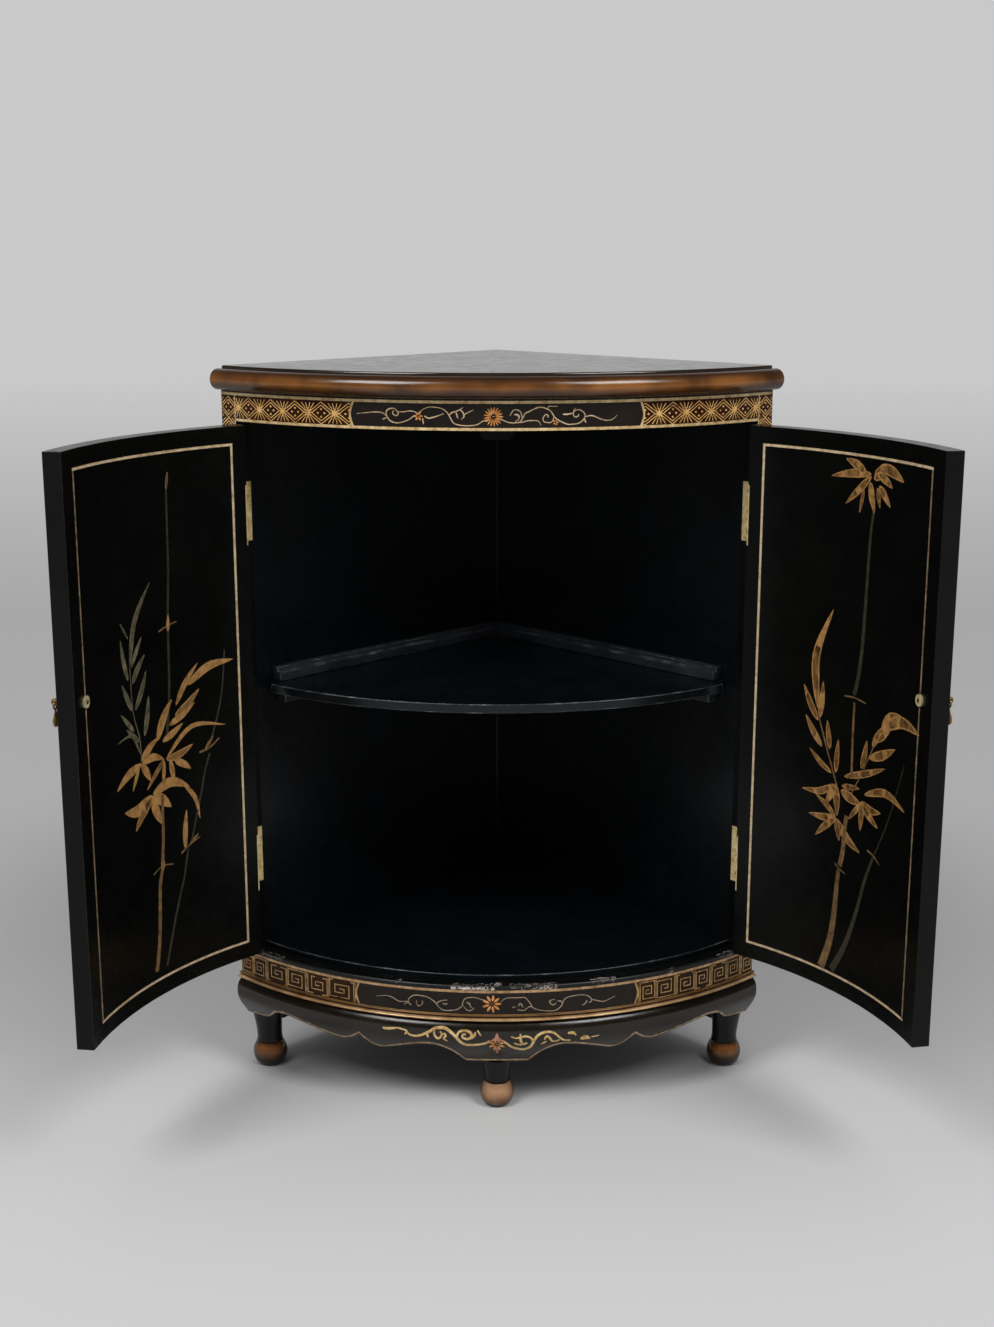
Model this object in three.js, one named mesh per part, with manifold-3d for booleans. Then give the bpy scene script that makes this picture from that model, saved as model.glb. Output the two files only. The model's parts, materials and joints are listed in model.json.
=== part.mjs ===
// Quarter-round lacquered corner cupboard, in millimetres, +Z up.
// The front is a true quarter circle about the line where the room's two walls meet.
// Angles are measured about that line from straight ahead (-Y), positive towards the right (+X).
// The part's origin is the middle of the rear foot's sole, on the floor.
import * as THREE from "three";
import Module from "manifold-3d";
import { mergeVertices } from "three/addons/utils/BufferGeometryUtils.js";

const wasm = await Module();
wasm.setup();

// Driving dimensions of the whole cupboard
const HEIGHT = 800;
const FRONT_RADIUS = 415;
const FIT = 0.3; // gap left between pieces that are glued or rest on each other
const OVERRUN = 5; // how far a cutter runs past what it cuts
const ARC_STEP = THREE.MathUtils.degToRad(3);
const HALF_CORNER = THREE.MathUtils.degToRad(45);

// Top board and its bullnose moulding
const TOP_BOARD_THICKNESS = 15;
const TOP_BOARD_SETBACK = 1;
const BULLNOSE_RADIUS = 11.2;
const BULLNOSE_OVERHANG = 14;
const BULLNOSE_DROP = 3.1; // top of the bullnose below the top board's face
const MOULDING_SEAT = 29; // width of the ledge that carries the board

// Front frame: two posts, the frieze rail and the bottom rail
const FRAME_THICKNESS = 18;
const POST_WIDTH = 24;
const FRIEZE_DEPTH = 31.5;
const BOTTOM_RAIL_DEPTH = 40.5;
const BEAD_HEIGHT = 7.8;
const BEAD_REACH = 5.5;
const BEAD_BACK = 0.8; // how far the bead's back edge steps out at its top
const SIDE_THICKNESS = 18;

// Apron, feet and the base behind them
const FOOT_HEIGHT = 53.4;
const APRON_DEPTH = 52;
const APRON_THICKNESS = 12; // at its lower edge
const BALL_RADIUS = 19;
const SOLE_RADIUS = 11;
const ANKLE_RADIUS = 13.2;
const LEG_TOP_RADIUS = 18;
const LEG_LEAN = 4;
const FOOT_SETBACK = 24; // foot centre behind the front face
const SIDE_FOOT_TO_WALL = 20.5;
const REAR_FOOT_TO_WALL = 27;
const SPIGOT_RADIUS = 7;
const SPIGOT_LENGTH = 20;
const SPIGOT_SETBACK = 6;
const FOOT_SIDES = 18;
const BLOCK_DEPTH = 32;
const BLOCK_WIDTH = 58;
const SIDE_BLOCK_WIDTH = 44;
const REAR_BLOCK_WIDTH = 42;

// Floor, shelf and the strips that hold it
const FLOOR_THICKNESS = 15;
const FLOOR_RISE = 5; // floor above the bottom rail's ledge: the doors close against this step
const SHELF_TOP = 453;
const SHELF_THICKNESS = 10;
const SHELF_SETBACK = 27;
const SHELF_CORNER = 16;
const BATTEN_THICKNESS = 15;
const BATTEN_HEIGHT = 15;
const BATTEN_STEP = 5;
const BATTEN_SETBACK = 24; // its front end behind the side panel's
const CLEAT_SETBACK = 30;

// Doors
const DOOR_THICKNESS = 18;
const DOOR_TOP_GAP = 2.6;
const DOOR_BOTTOM_GAP = 3;
const DOOR_SIDE_GAP = 1.2;
const MEETING_GAP = 1.6;
const LEFT_DOOR_OPEN = THREE.MathUtils.degToRad(97.5);
const RIGHT_DOOR_OPEN = THREE.MathUtils.degToRad(100.5);
const STOP_WIDTH = 36;
const STOP_DEPTH = 15;
const STOP_HEIGHT = 25;
const STOP_SHOWS = 11; // below the frieze rail
const STOP_CHAMFER = 5;

// Butt hinges
const HINGE_LENGTH = 64;
const UPPER_HINGE_FROM_TOP = 95;
const LOWER_HINGE_FROM_BOTTOM = 107;
const PIVOT_REACH = 4; // pin centre in front of the door's face
const BARREL_RADIUS = 3.3;
const PIN_RADIUS = 1.3;
const PIN_CLEARANCE = 0.3;
const PIN_HEAD_RADIUS = 2.8;
const PIN_HEAD_HEIGHT = 2.6;
const LEAF_THICKNESS = 1.2;
const LEAF_INSET = 0.5; // leaf's far edge short of the door's inner face
const KNUCKLES = 5;
const KNUCKLE_GAP = 0.4;
const BARREL_SIDES = 12;

// Drop pulls
const PULL_FROM_EDGE = 25;
const PULL_HEIGHT = 499;
const ROSETTE_RADIUS = 10;
const ROSETTE_THICKNESS = 2.5;
const BOLT_RADIUS = 2;
const BOLT_CLEARANCE = 0.3;
const BOLT_PROUD = 0.8; // bolt end beyond the nut
const NUT_RADIUS = 6;
const NUT_THICKNESS = 2.2;
const KNOB_RADIUS = 4.4;
const KNOB_REACH = 7; // knob centre in front of the door's face
const EYE_REACH = 12.5;
const EYE_DROP = 1.5; // eye centre below the bolt
const EYE_RADIUS = 3.5;
const EYE_BORE = 2.1;
const EYE_THICKNESS = 3;
const LOOP_RADIUS = 3.6;
const LOOP_WIRE = 1.1;
const DROP_LENGTH = 25; // from the eye's centre to the drop's tip
const DROP_WIDTH = 12;
const DROP_THICKNESS = 5.5;

// Levels, from the floor up
const apronBottom = FOOT_HEIGHT + FIT;
const apronTop = apronBottom + APRON_DEPTH;
const bottomRailBottom = apronTop + FIT;
const bottomRailTop = bottomRailBottom + BOTTOM_RAIL_DEPTH;
const floorTop = bottomRailTop + FLOOR_RISE;
const topBoardBottom = HEIGHT - TOP_BOARD_THICKNESS;
const mouldingTop = HEIGHT - BULLNOSE_DROP;
const mouldingBottom = mouldingTop - 2 * BULLNOSE_RADIUS;
const frameTop = mouldingBottom - FIT;
const friezeBottom = frameTop - FRIEZE_DEPTH;
const doorTop = friezeBottom - DOOR_TOP_GAP;
const doorBottom = bottomRailTop + DOOR_BOTTOM_GAP;

// Radii, from the wall corner out
const frameInner = FRONT_RADIUS - FRAME_THICKNESS;
const doorInner = FRONT_RADIUS - DOOR_THICKNESS;
const floorRadius = Math.min(frameInner, doorInner) - FIT;
const topBoardRadius = FRONT_RADIUS - TOP_BOARD_SETBACK;
const mouldingInner = FRONT_RADIUS - MOULDING_SEAT;
const panelLength = Math.sqrt(floorRadius ** 2 - SIDE_THICKNESS ** 2); // from the wall corner
const postAngle = HALF_CORNER - POST_WIDTH / FRONT_RADIUS;
const hingeAngle = postAngle - DOOR_SIDE_GAP / 2 / FRONT_RADIUS;
const doorHingeAngle = postAngle - DOOR_SIDE_GAP / FRONT_RADIUS;
const doorFreeAngle = MEETING_GAP / 2 / FRONT_RADIUS;
const wallCornerY = REAR_FOOT_TO_WALL * Math.SQRT2;

// Finishes
const finish = (colour, roughness, metalness) =>
  new THREE.MeshStandardMaterial({ color: colour, roughness, metalness });
const blackLacquer = finish(0x0b0d0e, 0.3, 0);
const tortoiseLacquer = finish(0x4a2710, 0.22, 0);
const topLacquer = finish(0x33302c, 0.25, 0);
const giltLacquer = finish(0x7a5a2c, 0.4, 0.2);
const copperLacquer = finish(0x8a5a34, 0.35, 0.3);
const brass = finish(0xb79a55, 0.35, 1);

// A point at a radius and angle about the wall corner.
function polar(radius, angle) {
  return new THREE.Vector2(radius * Math.sin(angle), -radius * Math.cos(angle));
}

// A point at its distances from the left and the right wall.
function fromWalls(left, right) {
  return new THREE.Vector2((left - right) * Math.SQRT1_2, -(left + right) * Math.SQRT1_2);
}

function mesh(name, geometry, material) {
  const made = new THREE.Mesh(geometry, material);
  made.name = name;
  return made;
}

// Angles from one to the other in even steps no wider than ARC_STEP.
function arcAngles(from, to) {
  const steps = Math.max(1, Math.ceil((to - from) / ARC_STEP));
  return Array.from({ length: steps + 1 }, (_, i) => from + ((to - from) * i) / steps);
}

// A closed solid through rings of points, each ring with the same number of points.
// section is the flat outline that the two end faces are filled from. Seen from outside
// the first end it runs anticlockwise.
function loft(rings, section) {
  const count = section.length;
  const faces = [];
  for (let i = 0; i + 1 < rings.length; i++) {
    for (let j = 0; j < count; j++) {
      const a = i * count + j;
      const b = i * count + ((j + 1) % count);
      faces.push(a, a + count, b + count, a, b + count, b);
    }
  }
  const last = (rings.length - 1) * count;
  for (const [a, b, c] of THREE.ShapeUtils.triangulateShape(section, [])) {
    faces.push(a, b, c, last + a, last + c, last + b);
  }
  const geometry = new THREE.BufferGeometry();
  geometry.setAttribute("position", new THREE.Float32BufferAttribute(rings.flat(2), 3));
  geometry.setIndex(faces);
  return geometry;
}

// Sweeps a section, given as points of radius and height, round the wall corner.
function arcSweep(sectionAt, angles) {
  const rings = angles.map((angle) =>
    sectionAt(angle).map((point) => {
      const place = polar(point.x, angle);
      return [place.x, place.y, point.y];
    }),
  );
  return loft(rings, sectionAt(angles[0]));
}

function rectangle(x0, x1, y0, y1) {
  return [
    new THREE.Vector2(x0, y0),
    new THREE.Vector2(x1, y0),
    new THREE.Vector2(x1, y1),
    new THREE.Vector2(x0, y1),
  ];
}

function curvedBoard(inner, outer, bottom, top, from, to) {
  return arcSweep(() => rectangle(inner, outer, bottom, top), arcAngles(from, to));
}

// A straight board along the left wall, mitred where it meets its twin in the wall corner.
// section holds points of distance from the wall and height; length is from the wall corner.
function wallBoard(section, length) {
  const ringAt = (alongWall) =>
    section.map((point) => {
      const place = fromWalls(point.x, alongWall(point.x));
      return [place.x, place.y, point.y];
    });
  const front = ringAt(() => length);
  const mitre = ringAt((offset) => offset + FIT);
  return loft([front, mitre], section);
}

// The outline of a flat board that fills the corner to a radius, clear of the walls by an offset.
function cornerOutline(radius, offset) {
  const half = HALF_CORNER - Math.asin(offset / radius);
  return [fromWalls(offset, offset), ...arcAngles(-half, half).map((angle) => polar(radius, angle))];
}

function plate(outline, bottom, thickness) {
  const shape = new THREE.Shape(outline);
  const geometry = new THREE.ExtrudeGeometry(shape, { depth: thickness, bevelEnabled: false });
  return geometry.translate(0, 0, bottom);
}

function box(x0, x1, y0, y1, z0, z1) {
  const geometry = new THREE.BoxGeometry(x1 - x0, y1 - y0, z1 - z0);
  return geometry.translate((x0 + x1) / 2, (y0 + y1) / 2, (z0 + z1) / 2);
}

function cylinder(radius, bottom, top, sides) {
  const geometry = new THREE.CylinderGeometry(radius, radius, top - bottom, sides);
  return geometry.rotateX(Math.PI / 2).translate(0, 0, (bottom + top) / 2);
}

// Solids for joining and cutting
function solid(geometry) {
  const bare = geometry.clone();
  bare.deleteAttribute("normal");
  bare.deleteAttribute("uv");
  const merged = mergeVertices(bare);
  return new wasm.Manifold(
    new wasm.Mesh({
      numProp: 3,
      vertProperties: merged.attributes.position.array,
      triVerts: new Uint32Array(merged.index.array),
    }),
  );
}

function geometryOf(body) {
  const made = body.getMesh();
  const geometry = new THREE.BufferGeometry();
  geometry.setAttribute("position", new THREE.BufferAttribute(made.vertProperties, made.numProp));
  geometry.setIndex(new THREE.BufferAttribute(made.triVerts, 1));
  return geometry;
}

function cut(geometry, cutters) {
  return geometryOf(cutters.reduce((body, cutter) => body.subtract(solid(cutter)), solid(geometry)));
}

function join(geometries) {
  return geometryOf(geometries.map(solid).reduce((body, other) => body.add(other)));
}

// A frame that stands at a radius and angle: its +X points outwards and its +Y to the right.
function polarGroup(radius, angle, height) {
  const group = new THREE.Group();
  const place = polar(radius, angle);
  group.position.set(place.x, place.y, height);
  group.rotation.z = angle - Math.PI / 2;
  return group;
}

// Moves a geometry from such a frame to the cupboard's own.
function toPolar(geometry, radius, angle, height) {
  const frame = polarGroup(radius, angle, height);
  frame.updateMatrix();
  return geometry.clone().applyMatrix4(frame.matrix);
}

// Top: a quarter-round board let into the rabbet of a bullnose moulding
function topMoulding() {
  const centre = FRONT_RADIUS + BULLNOSE_OVERHANG - BULLNOSE_RADIUS;
  const middle = mouldingBottom + BULLNOSE_RADIUS;
  const nose = new THREE.EllipseCurve(
    centre, middle, BULLNOSE_RADIUS, BULLNOSE_RADIUS, -Math.PI / 2, Math.PI / 2,
  );
  const rabbet = topBoardRadius + FIT;
  const section = [
    new THREE.Vector2(mouldingInner, mouldingBottom),
    ...nose.getPoints(10),
    new THREE.Vector2(rabbet, mouldingTop),
    new THREE.Vector2(rabbet, topBoardBottom - FIT),
    new THREE.Vector2(mouldingInner, topBoardBottom - FIT),
  ];
  return arcSweep(() => section, arcAngles(-HALF_CORNER, HALF_CORNER));
}

function topBoard() {
  return plate(cornerOutline(topBoardRadius, 0), topBoardBottom, TOP_BOARD_THICKNESS);
}

// Curved rails of the front: the frieze between the posts, and the bottom rail under them
function friezeRail() {
  const half = postAngle - FIT / FRONT_RADIUS;
  return curvedBoard(frameInner, FRONT_RADIUS, friezeBottom, frameTop, -half, half);
}

function bottomRail() {
  return curvedBoard(
    frameInner, FRONT_RADIUS, bottomRailBottom, bottomRailTop, -HALF_CORNER, HALF_CORNER,
  );
}

// Two-reed bead under the bottom rail
function baseBead() {
  const back = FRONT_RADIUS + FIT;
  const bottom = bottomRailBottom;
  const upperShare = 0.42; // of the bead's height
  const upperReachShare = 0.5; // of the bead's reach
  const split = bottom + BEAD_HEIGHT * (1 - upperShare);
  const reed = (low, high, reach) => {
    const curve = new THREE.EllipseCurve(
      back + BEAD_BACK, (low + high) / 2, reach - BEAD_BACK, (high - low) / 2, -Math.PI / 2, Math.PI / 2,
    );
    return curve.getPoints(5);
  };
  const section = [
    new THREE.Vector2(back, bottom),
    ...reed(bottom, split, BEAD_REACH),
    ...reed(split, bottom + BEAD_HEIGHT, BEAD_REACH * upperReachShare).slice(1),
    new THREE.Vector2(back, bottom + BEAD_HEIGHT),
  ];
  return arcSweep(() => section, arcAngles(-HALF_CORNER, HALF_CORNER));
}

// The apron's lower edge, from the middle out: share of the half front, and share of the apron's depth
const SCALLOP_SHARES = [
  [0, 1],
  [0.107, 1],
  [0.131, 0.84],
  [0.158, 0.69],
  [0.2, 0.575],
  [0.24, 0.558],
  [0.288, 0.608],
  [0.35, 0.727],
  [0.39, 0.8],
  [0.42, 0.79],
  [0.449, 0.656],
  [0.47, 0.492],
  [0.504, 0.642],
  [0.545, 0.731],
  [0.61, 0.652],
  [0.669, 0.554],
  [0.716, 0.49],
  [0.756, 0.448],
  [0.806, 0.49],
  [0.84, 0.64],
  [0.874, 0.754],
  [0.951, 0.835],
  [1, 0.873],
];
const END_DROP_SHARE = 0.873;

// The apron's bombé face, from its top down: share of its depth, and share of the bulge
const APRON_BULGE = 7;
const BOMBE_SHARES = [
  [0, 0.15],
  [0.11, 0.6],
  [0.245, 1],
  [0.4, 0.93],
  [0.57, 0.4],
  [0.72, -0.3],
  [0.87, -1],
  [1, -1.3],
];

function lerpTable(table, share) {
  const next = Math.max(1, table.findIndex(([at]) => at >= share));
  const [x0, y0] = table[next - 1];
  const [x1, y1] = table[next];
  return y0 + ((y1 - y0) * (share - x0)) / (x1 - x0);
}

const lowestBombeShare = BOMBE_SHARES[BOMBE_SHARES.length - 1][1];
const apronInner = FRONT_RADIUS + APRON_BULGE * lowestBombeShare - APRON_THICKNESS;

function apron() {
  const rows = BOMBE_SHARES.length + 3;
  const sectionAt = (angle) => {
    const drop = lerpTable(SCALLOP_SHARES, Math.min(1, Math.abs(angle) / HALF_CORNER));
    const face = Array.from({ length: rows }, (_, i) => {
      const share = (drop * (rows - 1 - i)) / (rows - 1);
      const radius = FRONT_RADIUS + APRON_BULGE * lerpTable(BOMBE_SHARES, share);
      return new THREE.Vector2(radius, apronTop - APRON_DEPTH * share);
    });
    return [
      new THREE.Vector2(apronInner, apronTop - APRON_DEPTH * drop),
      ...face,
      new THREE.Vector2(apronInner, apronTop),
    ];
  };
  const half = SCALLOP_SHARES.map(([share]) => share * HALF_CORNER);
  return arcSweep(sectionAt, [...half.slice(1).reverse().map((angle) => -angle), ...half]);
}

// A turned ball foot with a short flaring leg and a spigot; +X is the way the leg leans
function foot(height) {
  const soleAngle = Math.asin(SOLE_RADIUS / BALL_RADIUS);
  const ankleAngle = Math.PI - Math.asin(ANKLE_RADIUS / BALL_RADIUS);
  const ballCentre = BALL_RADIUS * Math.cos(soleAngle);
  const ankle = ballCentre - BALL_RADIUS * Math.cos(ankleAngle);
  const ballRings = 7;
  const levels = [];
  for (let i = 0; i <= ballRings; i++) {
    const turn = soleAngle + ((ankleAngle - soleAngle) * i) / ballRings;
    levels.push([ballCentre - BALL_RADIUS * Math.cos(turn), BALL_RADIUS * Math.sin(turn), 0]);
  }
  const legShares = [
    [0.2, 0],
    [0.45, 0.1],
    [0.7, 0.4],
    [0.88, 0.75],
    [1, 1],
  ];
  for (const [rise, flare] of legShares) {
    const radius = ANKLE_RADIUS + (LEG_TOP_RADIUS - ANKLE_RADIUS) * flare;
    levels.push([ankle + (height - ankle) * rise, radius, LEG_LEAN * flare]);
  }
  levels.push([height, SPIGOT_RADIUS, -SPIGOT_SETBACK]);
  levels.push([height + SPIGOT_LENGTH, SPIGOT_RADIUS, -SPIGOT_SETBACK]);
  const circle = Array.from({ length: FOOT_SIDES }, (_, i) => {
    const turn = (2 * Math.PI * i) / FOOT_SIDES;
    return new THREE.Vector2(Math.cos(turn), Math.sin(turn));
  });
  const rings = levels.map(([level, radius, lean]) =>
    circle.map((point) => [lean + radius * point.x, -radius * point.y, level]),
  );
  return loft(rings, circle);
}

function spigotHole(bottom) {
  const radius = SPIGOT_RADIUS + FIT;
  const hole = cylinder(radius, bottom - OVERRUN, bottom + SPIGOT_LENGTH + FIT, FOOT_SIDES);
  return hole.translate(-SPIGOT_SETBACK, 0, 0);
}

// Curved blocks behind the apron, bored for the spigots of the front and side feet
const footRadius = FRONT_RADIUS - FOOT_SETBACK;
const sideFootAngle = HALF_CORNER - Math.asin(SIDE_FOOT_TO_WALL / footRadius);
const baseEdge = apronTop - APRON_DEPTH * END_DROP_SHARE;
const blockOuter = apronInner - FIT;
const blockInner = blockOuter - BLOCK_DEPTH;

function frontBlock() {
  const half = BLOCK_WIDTH / 2 / blockOuter;
  const block = curvedBoard(blockInner, blockOuter, apronBottom, apronTop, -half, half);
  return cut(block, [toPolar(spigotHole(apronBottom), footRadius, 0, 0)]);
}

function sideBlock() {
  const inner = -HALF_CORNER + SIDE_BLOCK_WIDTH / blockOuter;
  const block = curvedBoard(blockInner, blockOuter, baseEdge, apronTop, -HALF_CORNER, inner);
  return cut(block, [toPolar(spigotHole(baseEdge), footRadius, -sideFootAngle, 0)]);
}

function rearBlock() {
  const near = SIDE_THICKNESS + FIT;
  const far = near + REAR_BLOCK_WIDTH;
  const outline = [fromWalls(near, near), fromWalls(near, far), fromWalls(far, far), fromWalls(far, near)];
  const block = plate(outline, baseEdge, apronTop - baseEdge);
  const hole = spigotHole(baseEdge).rotateZ(Math.PI / 2).translate(0, -wallCornerY, 0);
  return cut(block, [hole]);
}

// Side panel, notched at its upper front corner for the moulding's ledge
function leftPanel() {
  const section = rectangle(0, SIDE_THICKNESS, bottomRailBottom, topBoardBottom - FIT);
  const past = -HALF_CORNER - OVERRUN / FRONT_RADIUS;
  const notch = curvedBoard(mouldingInner - FIT, FRONT_RADIUS, frameTop, HEIGHT, past, -postAngle);
  return cut(wallBoard(section, panelLength), [notch]);
}

// Rail along the wall under the side panel
function leftBaseRail() {
  const length = Math.sqrt((blockInner - FIT) ** 2 - SIDE_THICKNESS ** 2);
  return wallBoard(rectangle(0, SIDE_THICKNESS, baseEdge, apronTop), length);
}

function floorBoard() {
  const outline = cornerOutline(floorRadius, SIDE_THICKNESS + FIT);
  return plate(outline, floorTop - FLOOR_THICKNESS, FLOOR_THICKNESS);
}

// Shelf with rounded front corners, and the stepped batten that holds it down
function shelf() {
  const radius = FRONT_RADIUS - SHELF_SETBACK;
  const offset = SIDE_THICKNESS + FIT;
  const reach = Math.sqrt(radius * radius - offset * offset) - SHELF_CORNER;
  const half = HALF_CORNER - Math.asin(offset / radius) - SHELF_CORNER / radius;
  const front = arcAngles(-half, half).map((angle) => polar(radius, angle));
  const outline = [fromWalls(offset, offset), fromWalls(offset, reach), ...front, fromWalls(reach, offset)];
  return plate(outline, SHELF_TOP - SHELF_THICKNESS, SHELF_THICKNESS);
}

function upperBatten() {
  const back = SIDE_THICKNESS + FIT;
  const bottom = SHELF_TOP + FIT;
  const top = bottom + BATTEN_HEIGHT;
  const section = [
    new THREE.Vector2(back, bottom),
    new THREE.Vector2(back + BATTEN_THICKNESS, bottom),
    new THREE.Vector2(back + BATTEN_THICKNESS, top - BATTEN_STEP),
    new THREE.Vector2(back + BATTEN_THICKNESS - BATTEN_STEP, top - BATTEN_STEP),
    new THREE.Vector2(back + BATTEN_THICKNESS - BATTEN_STEP, top),
    new THREE.Vector2(back, top),
  ];
  return wallBoard(section, panelLength - BATTEN_SETBACK);
}

function lowerCleat() {
  const back = SIDE_THICKNESS + FIT;
  const top = SHELF_TOP - SHELF_THICKNESS - FIT;
  const section = rectangle(back, back + BATTEN_THICKNESS, top - BATTEN_HEIGHT, top);
  return wallBoard(section, panelLength - CLEAT_SETBACK);
}

// Stop block behind the frieze rail, chamfered at its lower ends
function stopBlock() {
  const outer = floorRadius - FIT;
  const half = STOP_WIDTH / 2 / outer;
  const chamfered = (STOP_WIDTH / 2 - STOP_CHAMFER) / outer;
  const bottom = friezeBottom - STOP_SHOWS;
  const sectionAt = (angle) => {
    const low = Math.abs(angle) > chamfered ? bottom + STOP_CHAMFER : bottom;
    return rectangle(outer - STOP_DEPTH, outer, low, bottom + STOP_HEIGHT);
  };
  return arcSweep(sectionAt, [-half, -chamfered, chamfered, half]);
}

// Butt hinge in a frame with +X outwards, +Y towards the door, and the pin on the Z axis
const leafNear = DOOR_SIDE_GAP / 2;
const leafFar = leafNear + LEAF_THICKNESS;
const leafBack = -(PIVOT_REACH + DOOR_THICKNESS - LEAF_INSET);
const leafFront = -(BARREL_RADIUS + PIN_CLEARANCE);
const knuckleLength = (HINGE_LENGTH - KNUCKLE_GAP * (KNUCKLES - 1)) / KNUCKLES;

function hingeLeaf(first, towardsDoor) {
  const y0 = towardsDoor ? leafNear : -leafFar;
  const y1 = towardsDoor ? leafFar : -leafNear;
  const pieces = [box(leafBack, leafFront, y0, y1, -HINGE_LENGTH / 2, HINGE_LENGTH / 2)];
  const bore = PIN_RADIUS + PIN_CLEARANCE;
  for (let i = first; i < KNUCKLES; i += 2) {
    const low = -HINGE_LENGTH / 2 + i * (knuckleLength + KNUCKLE_GAP);
    pieces.push(cylinder(BARREL_RADIUS, low, low + knuckleLength, BARREL_SIDES));
    pieces.push(box(leafFront - LEAF_THICKNESS, -bore, y0, y1, low, low + knuckleLength));
  }
  const hole = cylinder(bore, -HINGE_LENGTH / 2 - OVERRUN, HINGE_LENGTH / 2 + OVERRUN, BARREL_SIDES);
  return cut(join(pieces), [hole]);
}

function hingePin() {
  const end = HINGE_LENGTH / 2 + PIN_CLEARANCE;
  const rimShare = 0.45; // of the head's height that is straight
  const crownShare = 0.75; // of the head's radius at its rounded shoulder
  const half = [
    [PIN_RADIUS, end],
    [PIN_HEAD_RADIUS, end],
    [PIN_HEAD_RADIUS, end + PIN_HEAD_HEIGHT * rimShare],
    [PIN_HEAD_RADIUS * crownShare, end + PIN_HEAD_HEIGHT * (1 + rimShare) / 2],
    [0, end + PIN_HEAD_HEIGHT],
  ].map(([radius, level]) => new THREE.Vector2(radius, level));
  const lower = half.map((point) => new THREE.Vector2(point.x, -point.y)).reverse();
  return new THREE.LatheGeometry([...lower, ...half], BARREL_SIDES).rotateX(Math.PI / 2);
}

// The shallow pocket that a leaf is let into, on the door or on the post
function leafPocket(towardsDoor) {
  const deep = leafFar + FIT;
  const y0 = towardsDoor ? 0 : -deep;
  const y1 = towardsDoor ? deep : 0;
  const half = HINGE_LENGTH / 2 + FIT;
  return box(leafBack - OVERRUN, leafFront + OVERRUN, y0, y1, -half, half);
}

const pivotRadius = FRONT_RADIUS + PIVOT_REACH;
const HINGES = [
  ["upper", doorTop - UPPER_HINGE_FROM_TOP],
  ["lower", doorBottom + LOWER_HINGE_FROM_BOTTOM],
];
const pocketsFor = (towardsDoor) =>
  HINGES.map(([, height]) => toPolar(leafPocket(towardsDoor), pivotRadius, -hingeAngle, height));

function leftPost() {
  const bottom = bottomRailTop + FIT;
  const board = curvedBoard(frameInner, FRONT_RADIUS, bottom, frameTop, -HALF_CORNER, -postAngle);
  return cut(board, pocketsFor(false));
}

// Drop pull in a frame with +X outwards from the door's face
const pullAngle = doorFreeAngle + PULL_FROM_EDGE / FRONT_RADIUS;

// Turns a geometry made about the Y axis to lie about the X axis.
const alongX = (geometry) => geometry.rotateZ(-Math.PI / 2);

function boltHole() {
  const hole = cylinder(BOLT_RADIUS + BOLT_CLEARANCE, -DOOR_THICKNESS - OVERRUN, OVERRUN, BARREL_SIDES);
  return hole.rotateY(Math.PI / 2);
}

function leftDoor() {
  const angles = arcAngles(-doorHingeAngle, -doorFreeAngle);
  const section = rectangle(doorInner, FRONT_RADIUS, doorBottom, doorTop);
  const board = arcSweep(() => section, angles);
  const hole = toPolar(boltHole(), FRONT_RADIUS, -pullAngle, PULL_HEIGHT);
  return cut(board, [...pocketsFor(true), hole]);
}

function rosette() {
  const bore = BOLT_RADIUS + BOLT_CLEARANCE;
  const edgeShare = 0.4; // of the thickness at the rim
  const domeShare = 0.6; // of the radius where the dome is full
  const top = FIT + ROSETTE_THICKNESS;
  const profile = [
    [bore, FIT],
    [ROSETTE_RADIUS, FIT],
    [ROSETTE_RADIUS, FIT + ROSETTE_THICKNESS * edgeShare],
    [ROSETTE_RADIUS * domeShare, top],
    [bore, top],
    [bore, FIT],
  ].map(([radius, level]) => new THREE.Vector2(radius, level));
  return alongX(new THREE.LatheGeometry(profile, 24));
}

// A bolt with a turned knob, and an eye at its end for the drop
function eyeBolt() {
  const tail = -(DOOR_THICKNESS + FIT + NUT_THICKNESS + BOLT_PROUD);
  const neckAngle = Math.asin(BOLT_RADIUS / KNOB_RADIUS);
  const knob = new THREE.EllipseCurve(
    0, KNOB_REACH, KNOB_RADIUS, KNOB_RADIUS, -Math.PI / 2 + neckAngle, Math.PI / 2,
  );
  const profile = [
    new THREE.Vector2(0, tail),
    new THREE.Vector2(BOLT_RADIUS, tail),
    ...knob.getPoints(7).slice(0, -1),
    new THREE.Vector2(0, KNOB_REACH + KNOB_RADIUS),
  ];
  const bolt = alongX(new THREE.LatheGeometry(profile, BARREL_SIDES));
  const acrossEye = (radius, half) =>
    cylinder(radius, -half, half, BARREL_SIDES)
      .rotateX(Math.PI / 2)
      .translate(EYE_REACH, 0, -EYE_DROP);
  const eye = acrossEye(EYE_RADIUS, EYE_THICKNESS / 2);
  return cut(join([bolt, eye]), [acrossEye(EYE_BORE, KNOB_RADIUS + OVERRUN)]);
}

function boltNut() {
  const bore = BOLT_RADIUS + BOLT_CLEARANCE;
  const near = -(DOOR_THICKNESS + FIT);
  const profile = [
    [bore, near - NUT_THICKNESS],
    [NUT_RADIUS, near - NUT_THICKNESS],
    [NUT_RADIUS, near],
    [bore, near],
    [bore, near - NUT_THICKNESS],
  ].map(([radius, level]) => new THREE.Vector2(radius, level));
  return alongX(new THREE.LatheGeometry(profile, 20));
}

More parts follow.
